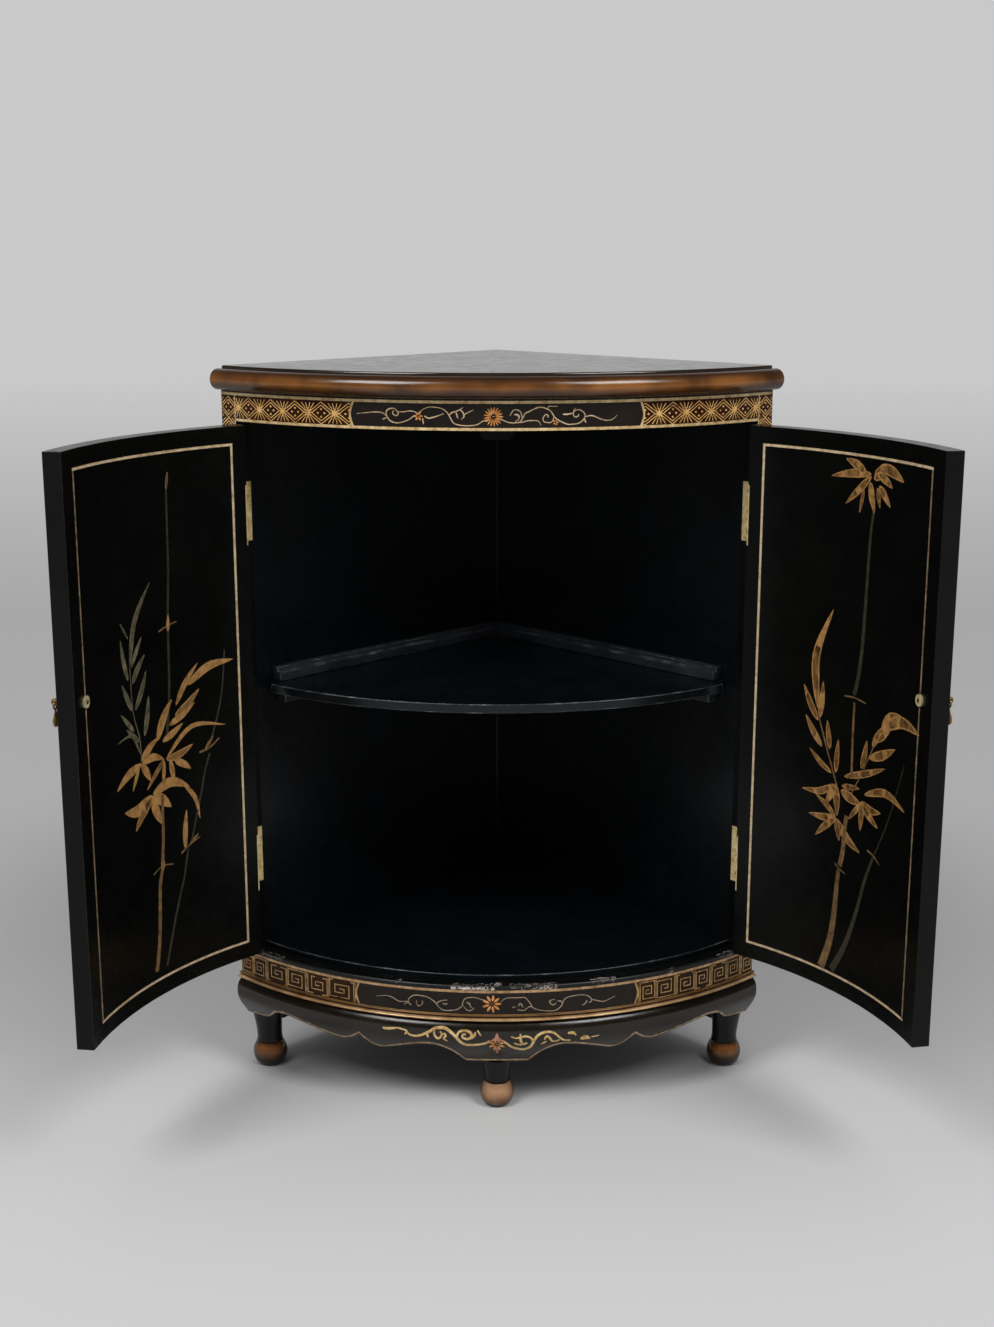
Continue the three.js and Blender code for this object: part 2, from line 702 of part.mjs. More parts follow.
// Flattened teardrop under a small loop that passes through the eye
function drop() {
  const loop = new THREE.TorusGeometry(LOOP_RADIUS, LOOP_WIRE, 8, 16);
  loop.rotateY(Math.PI / 2).translate(0, 0, -LOOP_RADIUS);
  const neck = -2 * LOOP_RADIUS + LOOP_WIRE / 2;
  const tearShares = [
    [1, 0],
    [0.97, 0.42],
    [0.88, 0.8],
    [0.75, 1],
    [0.6, 0.93],
    [0.4, 0.6],
    [0.2, 0.34],
    [0, 0.22],
  ];
  const profile = tearShares.map(([down, out]) => {
    const level = neck - (DROP_LENGTH + neck) * down;
    return new THREE.Vector2((DROP_WIDTH / 2) * out, level);
  });
  profile.push(new THREE.Vector2(0, neck));
  const tear = new THREE.LatheGeometry(profile, 14).rotateX(Math.PI / 2);
  tear.scale(DROP_THICKNESS / DROP_WIDTH, 1, 1);
  return join([loop, tear]).translate(EYE_REACH, 0, -EYE_DROP);
}

// Everything that comes as a left and right pair, modelled for the left side
function sidePieces(side, openAngle) {
  const group = new THREE.Group();
  group.add(mesh(`${side}_side_panel`, leftPanel(), blackLacquer));
  group.add(mesh(`${side}_base_rail`, leftBaseRail(), blackLacquer));
  group.add(mesh(`${side}_post`, leftPost(), blackLacquer));
  group.add(mesh(`${side}_shelf_batten`, upperBatten(), blackLacquer));
  group.add(mesh(`${side}_shelf_cleat`, lowerCleat(), blackLacquer));
  group.add(mesh(`${side}_foot_block`, sideBlock(), blackLacquer));

  const footFrame = polarGroup(footRadius, -sideFootAngle, 0);
  footFrame.add(mesh(`${side}_foot`, foot(baseEdge - FIT), copperLacquer));
  group.add(footFrame);

  // The door swings about its hinge pins
  const pivot = polar(pivotRadius, -hingeAngle);
  const swing = new THREE.Group();
  swing.position.set(pivot.x, pivot.y, 0);
  swing.rotation.z = -openAngle;
  const door = new THREE.Group();
  door.position.set(-pivot.x, -pivot.y, 0);
  swing.add(door);
  group.add(swing);
  door.add(mesh(`${side}_door`, leftDoor(), blackLacquer));

  for (const [level, height] of HINGES) {
    const onPost = polarGroup(pivotRadius, -hingeAngle, height);
    onPost.add(mesh(`${side}_${level}_hinge_post_leaf`, hingeLeaf(0, false), brass));
    onPost.add(mesh(`${side}_${level}_hinge_pin`, hingePin(), brass));
    group.add(onPost);
    const onDoor = polarGroup(pivotRadius, -hingeAngle, height);
    onDoor.add(mesh(`${side}_${level}_hinge_door_leaf`, hingeLeaf(1, true), brass));
    door.add(onDoor);
  }

  const pull = polarGroup(FRONT_RADIUS, -pullAngle, PULL_HEIGHT);
  pull.add(mesh(`${side}_pull_rosette`, rosette(), brass));
  pull.add(mesh(`${side}_pull_eye_bolt`, eyeBolt(), brass));
  pull.add(mesh(`${side}_pull_nut`, boltNut(), brass));
  pull.add(mesh(`${side}_pull_drop`, drop(), brass));
  door.add(pull);
  return group;
}

const cupboard = new THREE.Group();
cupboard.position.y = wallCornerY;

// Pieces that go right across
cupboard.add(mesh("top_board", topBoard(), topLacquer));
cupboard.add(mesh("top_moulding", topMoulding(), tortoiseLacquer));
cupboard.add(mesh("frieze_rail", friezeRail(), giltLacquer));
cupboard.add(mesh("bottom_rail", bottomRail(), giltLacquer));
cupboard.add(mesh("base_bead", baseBead(), giltLacquer));
cupboard.add(mesh("apron", apron(), blackLacquer));
cupboard.add(mesh("floor_board", floorBoard(), blackLacquer));
cupboard.add(mesh("shelf", shelf(), blackLacquer));
cupboard.add(mesh("door_stop_block", stopBlock(), blackLacquer));
cupboard.add(mesh("front_foot_block", frontBlock(), blackLacquer));
cupboard.add(mesh("rear_foot_block", rearBlock(), blackLacquer));

const frontFoot = polarGroup(footRadius, 0, 0);
frontFoot.add(mesh("front_foot", foot(FOOT_HEIGHT), copperLacquer));
cupboard.add(frontFoot);

// The rear foot leans into the wall corner
const rearFoot = new THREE.Group();
rearFoot.position.set(0, -wallCornerY, 0);
rearFoot.rotation.z = Math.PI / 2;
rearFoot.add(mesh("rear_foot", foot(baseEdge - FIT), copperLacquer));
cupboard.add(rearFoot);

// The right side is the left side's mirror image
const left = sidePieces("left", LEFT_DOOR_OPEN);
const right = sidePieces("right", RIGHT_DOOR_OPEN);
right.scale.x = -1;
cupboard.add(left);
cupboard.add(right);

const assembly = new THREE.Group();
assembly.add(cupboard);
export default assembly;
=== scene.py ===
"""Looks for the quarter-round lacquered corner cupboard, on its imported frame. Metres, +Z up."""

import json
import math
import random

import bpy
from mathutils import Matrix, Vector
from mathutils.bvhtree import BVHTree


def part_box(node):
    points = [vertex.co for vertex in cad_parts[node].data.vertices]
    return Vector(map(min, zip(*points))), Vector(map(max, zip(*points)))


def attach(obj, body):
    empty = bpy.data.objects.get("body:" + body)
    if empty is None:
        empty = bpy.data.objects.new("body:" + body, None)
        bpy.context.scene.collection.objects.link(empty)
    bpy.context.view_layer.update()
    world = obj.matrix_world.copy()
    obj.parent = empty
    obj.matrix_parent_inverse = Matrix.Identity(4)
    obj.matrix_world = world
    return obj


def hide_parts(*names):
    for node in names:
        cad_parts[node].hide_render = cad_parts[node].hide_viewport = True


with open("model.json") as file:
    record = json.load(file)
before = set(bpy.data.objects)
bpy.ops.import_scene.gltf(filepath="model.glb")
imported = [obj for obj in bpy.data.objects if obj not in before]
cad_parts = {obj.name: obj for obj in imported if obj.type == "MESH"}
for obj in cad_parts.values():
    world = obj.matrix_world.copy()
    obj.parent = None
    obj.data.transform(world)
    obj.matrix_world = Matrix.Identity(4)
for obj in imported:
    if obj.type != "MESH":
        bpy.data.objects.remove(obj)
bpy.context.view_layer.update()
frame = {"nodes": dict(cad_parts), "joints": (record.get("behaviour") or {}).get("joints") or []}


# Camera. It stands about two metres in front of the cupboard, a little higher than its top, and
# looks slightly down: the top is seen almost edge-on, and the floor inside from above.
corner = Vector((0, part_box("top_board")[1].y, 0))  # where the two walls meet
camera_distance = 2.1813  # in front of the wall corner
camera_height = 0.921
camera_tilt = math.radians(13.288)
film_height = 36  # millimetres
photo_height = 1327  # pixels
focal_length = 1760.7  # pixels

camera = bpy.data.objects.new("camera", bpy.data.cameras.new("camera"))
bpy.context.scene.collection.objects.link(camera)
camera.location = corner + Vector((0, -camera_distance, camera_height))
camera.rotation_euler = (math.pi / 2 - camera_tilt, 0, 0)
camera.data.sensor_width = film_height
camera.data.lens = film_height * focal_length / photo_height
bpy.context.scene.camera = camera


# Studio. A pale seamless paper floor under a large soft light from above and two softboxes in
# front. The paper's tone is painted darker behind the cupboard, a painted shadow of it.
def colour(hex_code):
    """A colour as Blender wants it, from its sRGB hex value."""
    parts = [int(hex_code[i : i + 2], 16) / 255 for i in (1, 3, 5)]
    return [p / 12.92 if p <= 0.04045 else ((p + 0.055) / 1.055) ** 2.4 for p in parts] + [1]


def plug(tree, made, inputs):
    """Sets or links a node's inputs."""
    for socket, value in inputs.items():
        if isinstance(value, bpy.types.NodeSocket):
            tree.links.new(value, made.inputs[socket])
        else:
            made.inputs[socket].default_value = value


def node(tree, kind, inputs=None, **settings):
    """Adds a node with its settings and inputs."""
    made = tree.nodes.new(kind)
    for name, value in settings.items():
        setattr(made, name, value)
    plug(tree, made, inputs or {})
    return made


def ramp(tree, factor, stops):
    """A colour ramp through (position, hex) stops."""
    made = node(tree, "ShaderNodeValToRGB", {"Fac": factor})
    elements = made.color_ramp.elements
    while len(elements) < len(stops):
        elements.new(0.5)
    for element, (position, hex_code) in zip(elements, stops):
        element.position = position
        element.color = colour(hex_code)
    return made.outputs["Color"]


def new_material(name):
    """A Principled material: itself, its tree, its shader, and the place its patterns read."""
    material = bpy.data.materials.new(name)
    material.use_nodes = True
    tree = material.node_tree
    place = node(tree, "ShaderNodeTexCoord").outputs["Object"]
    return material, tree, tree.nodes["Principled BSDF"], place


bpy.context.scene.view_settings.view_transform = "Standard"

# The camera sees a plain pale room. A glossy surface sees the same behind the cupboard and a dim
# room in front of it, as in a studio, and the room's own fill light is weak beside the lamps.
studio_white = "#C9C9C9"
fill_grey = "#7A7A7A"
downward_share = -0.9  # how far a ray that goes down counts as one towards the back

world = bpy.data.worlds.new("studio")
bpy.context.scene.world = world
world.use_nodes = True
tree = world.node_tree
looking = node(tree, "ShaderNodeTexCoord").outputs["Generated"]
direction = node(tree, "ShaderNodeSeparateXYZ", {"Vector": looking}).outputs
toward_back = node(
    tree,
    "ShaderNodeMath",
    {0: direction["Z"], 1: downward_share, 2: direction["Y"]},
    operation="MULTIPLY_ADD",
).outputs["Value"]
depth = node(
    tree, "ShaderNodeMapRange", {"Value": toward_back, "From Min": -0.5, "From Max": 0.5}
).outputs["Result"]
room = ramp(tree, depth, [(0, "#3C3C3C"), (0.45, "#484848"), (1, studio_white)])
ray = node(tree, "ShaderNodeLightPath").outputs
mirrored = node(
    tree,
    "ShaderNodeMath",
    {0: ray["Is Glossy Ray"], 1: ray["Is Transmission Ray"]},
    operation="MAXIMUM",
).outputs["Value"]
fill = node(
    tree, "ShaderNodeMixRGB", {"Fac": mirrored, "Color1": colour(fill_grey), "Color2": room}
).outputs["Color"]
shown = node(
    tree,
    "ShaderNodeMixRGB",
    {"Fac": ray["Is Camera Ray"], "Color1": fill, "Color2": colour(studio_white)},
).outputs["Color"]
plug(tree, tree.nodes["Background"], {"Color": shown, "Strength": 1})

# The paper's tone, from in front of the cupboard to far behind it: the darker band just behind the
# cupboard is a painted shadow
paper_front = -0.7
paper_back = 11.3
paper, tree, shader, place = new_material("seamless_paper")
across = node(tree, "ShaderNodeSeparateXYZ", {"Vector": place}).outputs["Y"]
depth = node(
    tree,
    "ShaderNodeMapRange",
    {"Value": across, "From Min": paper_front, "From Max": paper_back},
).outputs["Result"]
tone = ramp(
    tree,
    depth,
    [
        (0.0, "#CFCFCF"), (0.018, "#CDCDCD"), (0.03, "#CDCDCD"), (0.045, "#C0C0C0"),
        (0.065, "#B6B6B6"), (0.1, "#ACACAC"), (0.25, "#A7A7A7"), (0.32, "#ADADAD"),
        (0.43, "#B6B6B6"), (0.6, "#BFBFBF"), (0.94, studio_white),
    ],
)
plug(tree, shader, {"Base Color": tone, "Roughness": 0.9, "Specular IOR Level": 0.1})
# Away from the cupboard the paper shines evenly, so that the shadow fades out and no lamp
# leaves a pool of light
away = node(tree, "ShaderNodeVectorMath", {0: place}, operation="LENGTH").outputs["Value"]
fade = node(
    tree,
    "ShaderNodeMapRange",
    {"Value": away, "From Min": 0.4, "From Max": 1.15},
    interpolation_type="SMOOTHSTEP",
).outputs["Result"]
glow = node(tree, "ShaderNodeEmission", {"Color": tone, "Strength": 1.0}).outputs["Emission"]
surface = node(
    tree, "ShaderNodeMixShader", {0: fade, 1: shader.outputs["BSDF"], 2: glow}
).outputs["Shader"]
plug(tree, tree.nodes["Material Output"], {"Surface": surface})

paper_width = 40
below_soles = 0.0002
bpy.ops.object.select_all(action="DESELECT")
bpy.ops.mesh.primitive_plane_add(size=paper_width, location=(0, 0, -below_soles))
studio_floor = bpy.context.object
studio_floor.name = "studio_floor"
studio_floor.data.materials.append(paper)


def soft_light(name, size, power, place, aim, mirrored=True):
    """A square soft light at a place, turned towards a point. One that is not mirrored leaves
    no highlight, as when it shines through a large screen."""
    data = bpy.data.lights.new(name, "AREA")
    data.shape = "SQUARE"
    data.size = size
    data.energy = power
    light = bpy.data.objects.new(name, data)
    bpy.context.scene.collection.objects.link(light)
    light.location = place
    light.rotation_euler = (Vector(aim) - Vector(place)).to_track_quat("-Z", "Y").to_euler()
    light.visible_glossy = mirrored


soft_light("overhead_light", 2.4, 15, (0, 0, 3.0), (0, -0.2, 0), mirrored=False)
soft_light("left_softbox", 1.15, 50, (-1.5, -1.8, 2.7), (0, -0.3, 0.4))
soft_light("right_softbox", 1.15, 46, (1.5, -1.8, 2.7), (0, -0.3, 0.4))


# Top board. A flat quarter-round board, lacquered brown-black and polished, that lies on the
# ledge of the moulding round it and stands a few millimetres above it with a rounded edge.
carcass = "carcass"
front_radius = corner.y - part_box("bottom_rail")[0].y  # of the cupboard's curved front
half_corner = math.radians(45)
curve_steps = 60
merge_distance = 1e-6


def at(radius, angle, height):
    """A point at a radius, angle and height about the wall corner; angle 0 is straight ahead."""
    return corner + Vector((radius * math.sin(angle), -radius * math.cos(angle), height))


def select(*pieces):
    """Selects these pieces and nothing else, the first of them active."""
    bpy.ops.object.select_all(action="DESELECT")
    for piece in pieces:
        piece.select_set(True)
    if pieces:
        bpy.context.view_layer.objects.active = pieces[0]


def settle(name):
    """Names the new object and puts its place, turn and scale into its mesh."""
    piece = bpy.context.object
    piece.name = name
    piece.data.name = name
    bpy.ops.object.transform_apply(location=True, rotation=True, scale=True)
    return piece


def close_mesh():
    """Merges the active piece's doubled points and turns its faces outwards."""
    bpy.ops.object.mode_set(mode="EDIT")
    bpy.ops.mesh.select_all(action="SELECT")
    bpy.ops.mesh.remove_doubles(threshold=merge_distance)
    bpy.ops.mesh.normals_make_consistent(inside=False)
    bpy.ops.object.mode_set(mode="OBJECT")


def spin_section(name, start, end):
    """Sweeps the new flat section round the wall corner into a closed board. With no window
    spin turns backwards, so its angle is negative here."""
    piece = settle(name)
    bpy.ops.object.mode_set(mode="EDIT")
    bpy.ops.mesh.select_all(action="SELECT")
    bpy.ops.mesh.spin(steps=curve_steps, angle=start - end, center=corner, axis=(0, 0, 1))
    bpy.ops.object.mode_set(mode="OBJECT")
    close_mesh()
    return piece


def curved_board(name, inner, outer, bottom, top, start=-half_corner, end=half_corner):
    """A board of rectangular section, bent round the wall corner."""
    select()
    bpy.ops.mesh.primitive_plane_add(
        size=1,
        location=at((inner + outer) / 2, start, (bottom + top) / 2),
        rotation=(math.pi / 2, 0, start - math.pi / 2),
    )
    bpy.context.object.scale = (outer - inner, top - bottom, 1)
    return spin_section(name, start, end)


def round_edges(piece, width, segments=2, worn=None):
    """Rounds the sharp edges, gives them the worn finish if there is one, and smooths the
    faces."""
    select(piece)
    bevel = piece.modifiers.new("bevel", "BEVEL")
    bevel.width = width
    bevel.segments = segments
    bevel.limit_method = "ANGLE"
    bevel.angle_limit = math.radians(35)
    if worn:
        piece.data.materials.append(worn)
        bevel.material = len(piece.data.materials) - 1
    bpy.ops.object.modifier_apply(modifier="bevel")
    bpy.ops.object.shade_smooth_by_angle(angle=math.radians(40))
    weighted = piece.modifiers.new("weighted", "WEIGHTED_NORMAL")
    weighted.keep_sharp = True
    bpy.ops.object.modifier_apply(modifier="weighted")


def fit(piece, body, slot, *nodes):
    """The piece rides on its body and stands for its CAD nodes, which it hides. The slot is not
    used.
    """
    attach(piece, body)
    if nodes:
        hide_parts(*nodes)


def lacquer(name, deep, cloudy, gloss=0.2, shine=0.5, peel=0.05):
    """Polished oriental lacquer: a deep colour with a cloudy second one in patches of 50 mm, hazed
    and rubbed. Peel is the fine orange-peel ripple of a sprayed coat, 4 mm across."""
    material, tree, shader, place = new_material(name)
    cloud = node(
        tree,
        "ShaderNodeTexNoise",
        {"Vector": place, "Scale": 1 / 0.05, "Detail": 5, "Roughness": 0.6},
    ).outputs["Fac"]
    haze = node(
        tree,
        "ShaderNodeTexNoise",
        {"Vector": place, "Scale": 1 / 0.018, "Detail": 8, "Roughness": 0.7},
    ).outputs["Fac"]
    rub = node(
        tree,
        "ShaderNodeMapRange",
        {"Value": haze, "From Min": 0.3, "From Max": 0.75, "To Min": gloss, "To Max": gloss + 0.14},
    ).outputs["Result"]
    ripple = node(tree, "ShaderNodeTexNoise", {"Vector": place, "Scale": 1 / 0.004, "Detail": 2})
    bump = node(
        tree,
        "ShaderNodeBump",
        {"Height": ripple.outputs["Fac"], "Strength": peel, "Distance": 0.0002},
    ).outputs["Normal"]
    plug(
        tree,
        shader,
        {
            "Base Color": ramp(tree, cloud, [(0.35, deep), (0.75, cloudy)]),
            "Roughness": rub,
            "Normal": bump,
            "IOR": 1.5,
            "Specular IOR Level": shine,
        },
    )
    return material


# The top's lacquer is brown-black, with a faint tortoise cloud that shows only close to
top_lacquer = lacquer(
    "brown_black_lacquer", "#1A140E", "#2E2014", gloss=0.1, shine=0.75, peel=0.004
)

top_low, top_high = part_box("top_board")
top_radius = corner.y - top_low.y
top_board = curved_board("polished_top_board", 0, top_radius, top_low.z, top_high.z)
top_board.data.materials.append(top_lacquer)
round_edges(top_board, 0.002, 3)
fit(top_board, carcass, "top_lacquer", "top_board")


# Top moulding. A full bullnose of solid wood bent round the board's edge, with a ledge behind it
# that carries the board. Its lacquer imitates tortoiseshell: amber clouded with dark brown.
moulding_seat = 0.029  # how far the ledge reaches in behind the front face
rabbet_gap = 0.0003
nose_low, nose_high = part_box("top_moulding")

tortoise, tree, shader, place = new_material("tortoiseshell_lacquer")
drift = node(
    tree, "ShaderNodeTexNoise", {"Vector": place, "Scale": 1 / 0.09, "Detail": 2}
).outputs["Color"]
warped = node(
    tree, "ShaderNodeMixRGB", {"Fac": 0.05, "Color1": place, "Color2": drift}
).outputs["Color"]
patches = node(
    tree,
    "ShaderNodeTexNoise",
    {"Vector": warped, "Scale": 1 / 0.05, "Detail": 3, "Roughness": 0.45},
).outputs["Fac"]
clouds = node(
    tree, "ShaderNodeMapRange", {"Value": patches, "From Min": 0.2, "From Max": 0.72}
).outputs["Result"]
# Painted shade: the round nose is darkened above and below by height, so the amber shows only in a
# band along the middle
height = node(tree, "ShaderNodeSeparateXYZ", {"Vector": place}).outputs["Z"]
level = node(
    tree,
    "ShaderNodeMapRange",
    {"Value": height, "From Min": nose_low.z, "From Max": nose_high.z},
).outputs["Result"]
nose_painted_shade = ramp(
    tree,
    level,
    [(0.05, "#202020"), (0.25, "#A0A0A0"), (0.5, "#FFFFFF"), (0.7, "#C8C8C8"), (0.9, "#606060")],
)
clouds_and_painted_shade = node(
    tree, "ShaderNodeMath", {0: clouds, 1: nose_painted_shade}, operation="MULTIPLY"
).outputs["Value"]
amber = ramp(
    tree, clouds_and_painted_shade, [(0.0, "#24150A"), (0.2, "#4A2C14"), (0.5, "#744820"), (0.85, "#905C2A")]
)
plug(
    tree, shader, {"Base Color": amber, "Roughness": 0.2, "IOR": 1.5, "Specular IOR Level": 0.5}
)


def round_strip(name, sides, radius, height, half_width, half_height):
    """A strip of round or oval section, bent round the wall corner along the whole front."""
    select()
    bpy.ops.mesh.primitive_circle_add(
        vertices=sides,
        radius=1,
        fill_type="NGON",
        location=at(radius, -half_corner, height),
        rotation=(math.pi / 2, 0, -half_corner - math.pi / 2),
    )
    bpy.context.object.scale = (half_width, half_height, 1)
    return spin_section(name, -half_corner, half_corner)


nose_radius = (nose_high.z - nose_low.z) / 2
nose_centre = corner.y - nose_low.y - nose_radius
bullnose = round_strip(
    "bullnose_moulding", 36, nose_centre, nose_low.z + nose_radius, nose_radius, nose_radius
)
ledge = curved_board(
    "moulding_ledge",
    front_radius - moulding_seat,
    top_radius + rabbet_gap,
    nose_low.z,
    top_low.z - rabbet_gap,
)
select(bullnose, ledge)
bpy.ops.object.join()
bullnose.data.materials.append(tortoise)
bpy.ops.object.shade_smooth_by_angle(angle=math.radians(40))
fit(bullnose, carcass, "tortoise_lacquer", "top_moulding")


# Frieze rail. A curved rail of black-lacquered wood, glued between the posts under the moulding.
# Its painting is gold on dark brown: a diaper of lozenges and flowers at each end, and a panel
# with a vine.

# The black lacquer is sprayed and rubbed, and mirrors the room only softly
black_lacquer = lacquer("black_lacquer", "#060707", "#0D0E0E", gloss=0.2, shine=0.3)

rail_low, rail_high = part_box("frieze_rail")
rail_thickness = 0.018
rail_end = math.asin((rail_high.x - rail_low.x) / 2 / front_radius)
frieze = curved_board(
    "frieze_rail_board",
    front_radius - rail_thickness,
    front_radius,
    rail_low.z,
    rail_high.z,
    -rail_end,
    rail_end,
)
frieze.data.materials.append(black_lacquer)
round_edges(frieze, 0.0006)
fit(frieze, carcass, "gilt_lacquer", "frieze_rail")


def on_front(along, up, lift):
    """A point on the cupboard's front: along it from the middle, above the floor, and off it."""
    return at(front_radius + lift, along / front_radius, up)


def smooth(points, steps=6):
    """A rounded path through the points."""
    path = []
    for i in range(len(points) - 1):
        before, a = Vector(points[max(i - 1, 0)]), Vector(points[i])
        b, after = Vector(points[i + 1]), Vector(points[min(i + 2, len(points) - 1)])
        for step in range(steps):
            t = step / steps
            path.append(
                0.5
                * (2 * a + (b - before) * t + (2 * before - 5 * a + 4 * b - after) * t**2)
                + 0.5 * (3 * a - before - 3 * b + after) * t**3
            )
    return path + [Vector(points[-1])]


def add_piece(name, mesh):
    """A new piece with this mesh, selected alone."""
    piece = bpy.data.objects.new(name, mesh)
    bpy.context.scene.collection.objects.link(piece)
    select(piece)
    return piece


class Painting:
    """Brush strokes along and up a surface, laid on it as the thin raised layer of gold lacquer
    that they are. A stroke is drawn flat, in metres. Strokes that cross lie at slightly different
    levels, so that no two faces share one place."""

    relief = 0.0002
    levels = 5
    level_step = 0.00002

    def __init__(self):
        self.points = []
        self.faces = []
        self.strokes = 0

    def stroke(self, path, width, end_width=None, belly=0.0):
        """A stroke that goes from one width to another, with a belly in between."""
        path = [Vector(p) for p in path]
        end_width = width if end_width is None else end_width
        first = len(self.points)
        self.strokes += 1
        lift = self.level_step * (self.strokes % self.levels)
        for i, point in enumerate(path):
            ahead = path[min(i + 1, len(path) - 1)] - path[max(i - 1, 0)]
            side = Vector((-ahead.y, ahead.x)).normalized()
            t = i / (len(path) - 1)
            half = (width + (end_width - width) * t + belly * math.sin(math.pi * t**0.8)) / 2
            for sign in (-1, 1):
                edge = point + side * half * sign
                self.points.append((edge.x, edge.y, lift))
        for i in range(len(path) - 1):
            a = first + 2 * i
            self.faces.append((a, a + 1, a + 3, a + 2))

    def lay(self, name, surface, paint, body, slot="gilt_lacquer", relief=None):
        """Bends the strokes on to the surface and gives them their thickness."""
        mesh = bpy.data.meshes.new(name)
        mesh.from_pydata([surface(*p) for p in self.points], [], self.faces)
        mesh.materials.append(paint)
        piece = add_piece(name, mesh)
        coat = piece.modifiers.new("coat", "SOLIDIFY")
        coat.thickness = 2 * (relief or self.relief)
        coat.offset = 0
        bpy.ops.object.modifier_apply(modifier="coat")
        close_mesh()
        fit(piece, body, slot)


def long_line(start, end, step=0.008):
    """Points along a straight line, close enough together to bend round the front."""
    start, end = Vector(start), Vector(end)
    count = max(1, math.ceil((end - start).length / step))
    return [start.lerp(end, i / count) for i in range(count + 1)]


def flat_band(painting, start, end, bottom, top):
    """A band of paint between two places along the front and between two heights."""
    middle = (bottom + top) / 2
    painting.stroke(long_line((start, middle), (end, middle)), top - bottom)


def level_line(painting, reach, height, width):
    """A level line on the front, as far to the left of the middle as to the right."""
    painting.stroke(long_line((-reach, height), (reach, height)), width)


def gold_paint(name, bright, dull, brown, metal=0.45, roughness=0.38):
    """Gold powder in lacquer: bright where thick, brown where it is rubbed through in patches of
    8 mm. Its grain is drawn 0.8 mm wide, coarser than the powder, so that it shows."""
    material, tree, shader, place = new_material(name)
    thick = node(
        tree,
        "ShaderNodeTexNoise",
        {"Vector": place, "Scale": 1 / 0.008, "Detail": 7, "Roughness": 0.7},
    ).outputs["Fac"]
    grain = node(tree, "ShaderNodeTexNoise", {"Vector": place, "Scale": 1 / 0.0008, "Detail": 2})
    bump = node(
        tree,
        "ShaderNodeBump",
        {"Height": grain.outputs["Fac"], "Strength": 0.3, "Distance": 0.0001},
    ).outputs["Normal"]
    tone = ramp(tree, thick, [(0.3, brown), (0.45, dull), (0.62, bright)])
    plug(
        tree,
        shader,
        {"Base Color": tone, "Normal": bump, "Metallic": metal, "Roughness": roughness},
    )
    return material


def patchy(name, patch_size, stops, finish, detail=6, contrast=0.7):
    """A finish that changes colour in patches of about one size, as where it is rubbed or dirty."""
    material, tree, shader, place = new_material(name)
    patches = node(
        tree,
        "ShaderNodeTexNoise",
        {"Vector": place, "Scale": 1 / patch_size, "Detail": detail, "Roughness": contrast},
    ).outputs["Fac"]
    plug(tree, shader, {"Base Color": ramp(tree, patches, stops), **finish})
    return material


# Lines drawn with a fine brush are a pale dull gold; the flowers have more copper in them
line_gold = gold_paint("rubbed_gold_line", "#F0D8A4", "#D0AE78", "#8E6E44", metal=0.2)
diaper_gold = gold_paint("bright_gold_diaper", "#F8D088", "#DEAA60", "#986830", metal=0.15)
pale_gold = gold_paint("pale_gold_vine", "#DCC3A0", "#BDA07A", "#84684A", metal=0.15)
orange_gold = gold_paint("orange_gold_flower", "#EBAA62", "#CF8540", "#8A4C20", metal=0.15)
# The diaper lies on red-brown lacquer that is duller than the black
diaper_ground = patchy(
    "brown_lacquer_ground",
    0.006,
    [(0.35, "#260F05"), (0.7, "#3A1C09")],
    {"Roughness": 0.35, "Specular IOR Level": 0.12},
    detail=5,
    contrast=0.5,
)
# The panels between the gold bands are a brown-black, warmer than the carcass
panel_ground = lacquer("brown_black_panel", "#120D09", "#241A10", gloss=0.25, shine=0.25)

band_line = 0.0028  # width of the gold lines along the painting
bow_line = 0.0022  # width of the bowed lines that end its middle panel
panel_bow = 0.004  # how far they bow out
under_line = 0.002  # how far a ground reaches under them
ground_relief = 0.00008
panel_relief = 0.00004
bare_strip = 0.0032  # plain lacquer under the moulding
frieze_bottom = rail_low.z
frieze_top = rail_high.z - bare_strip
cartouche_end = 0.1485  # along the front from its middle, where the panel with the vine ends
post_line = rail_end * front_radius
bare_end = 0.0015  # plain lacquer at the two ends of the front
bare_foot = 0.001  # and at the posts' lower ends
front_end = half_corner * front_radius - bare_end
post_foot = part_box("left_post")[0].z + bare_foot
post_field = post_line + 0.0006  # the posts' ground starts beside the rail's end

brown_field = Painting()
for side in (-1, 1):
    flat_band(
        brown_field,
        side * (cartouche_end + under_line),
        side * front_end,
        frieze_bottom,
        frieze_top,
    )
    flat_band(brown_field, side * post_field, side * front_end, post_foot, frieze_bottom)
frieze_field = Painting()
flat_band(frieze_field, -cartouche_end, cartouche_end, frieze_bottom, frieze_top)
frieze_field.lay("frieze_panel_ground", on_front, panel_ground, carcass, relief=panel_relief)
brown_field.lay("frieze_diaper_ground", on_front, diaper_ground, carcass, relief=ground_relief)

# The diaper is a row of double-lined lozenges, each round a flower of four dots. A star with long
# rays fills the space between two of them, and the posts carry the pattern on down.
band_height = frieze_top - frieze_bottom - 2 * band_line
band_middle = (frieze_top + frieze_bottom) / 2
band_bottom = band_middle - band_height / 2
lozenge_length = 0.032
first_star = 0.1695
thin_line = 0.00085
line_shares = (0.49, 0.35)  # half sizes of a lozenge's two lines, in shares of its whole size
dot_places = ((0.12, 0), (-0.12, 0), (0, 0.17), (0, -0.17))
dot_length = 0.0024
dot_margin = 0.0015  # a dot this near to the field's ends is left out
star_margins = (0.004, 0.007)  # and so is a star
whole = ((1, 1), (-1, 1), (1, -1), (-1, -1))
upper_half = whole[:2]
lower_half = whole[2:]
star_turns = [math.radians(45) * i for i in range(8)]
star_radius = 0.0055
ray_leans = (-0.75, -0.25, 0.25, 0.75)
ray_start = 0.0042
ray_end = 0.45 * band_height

diaper = Painting()


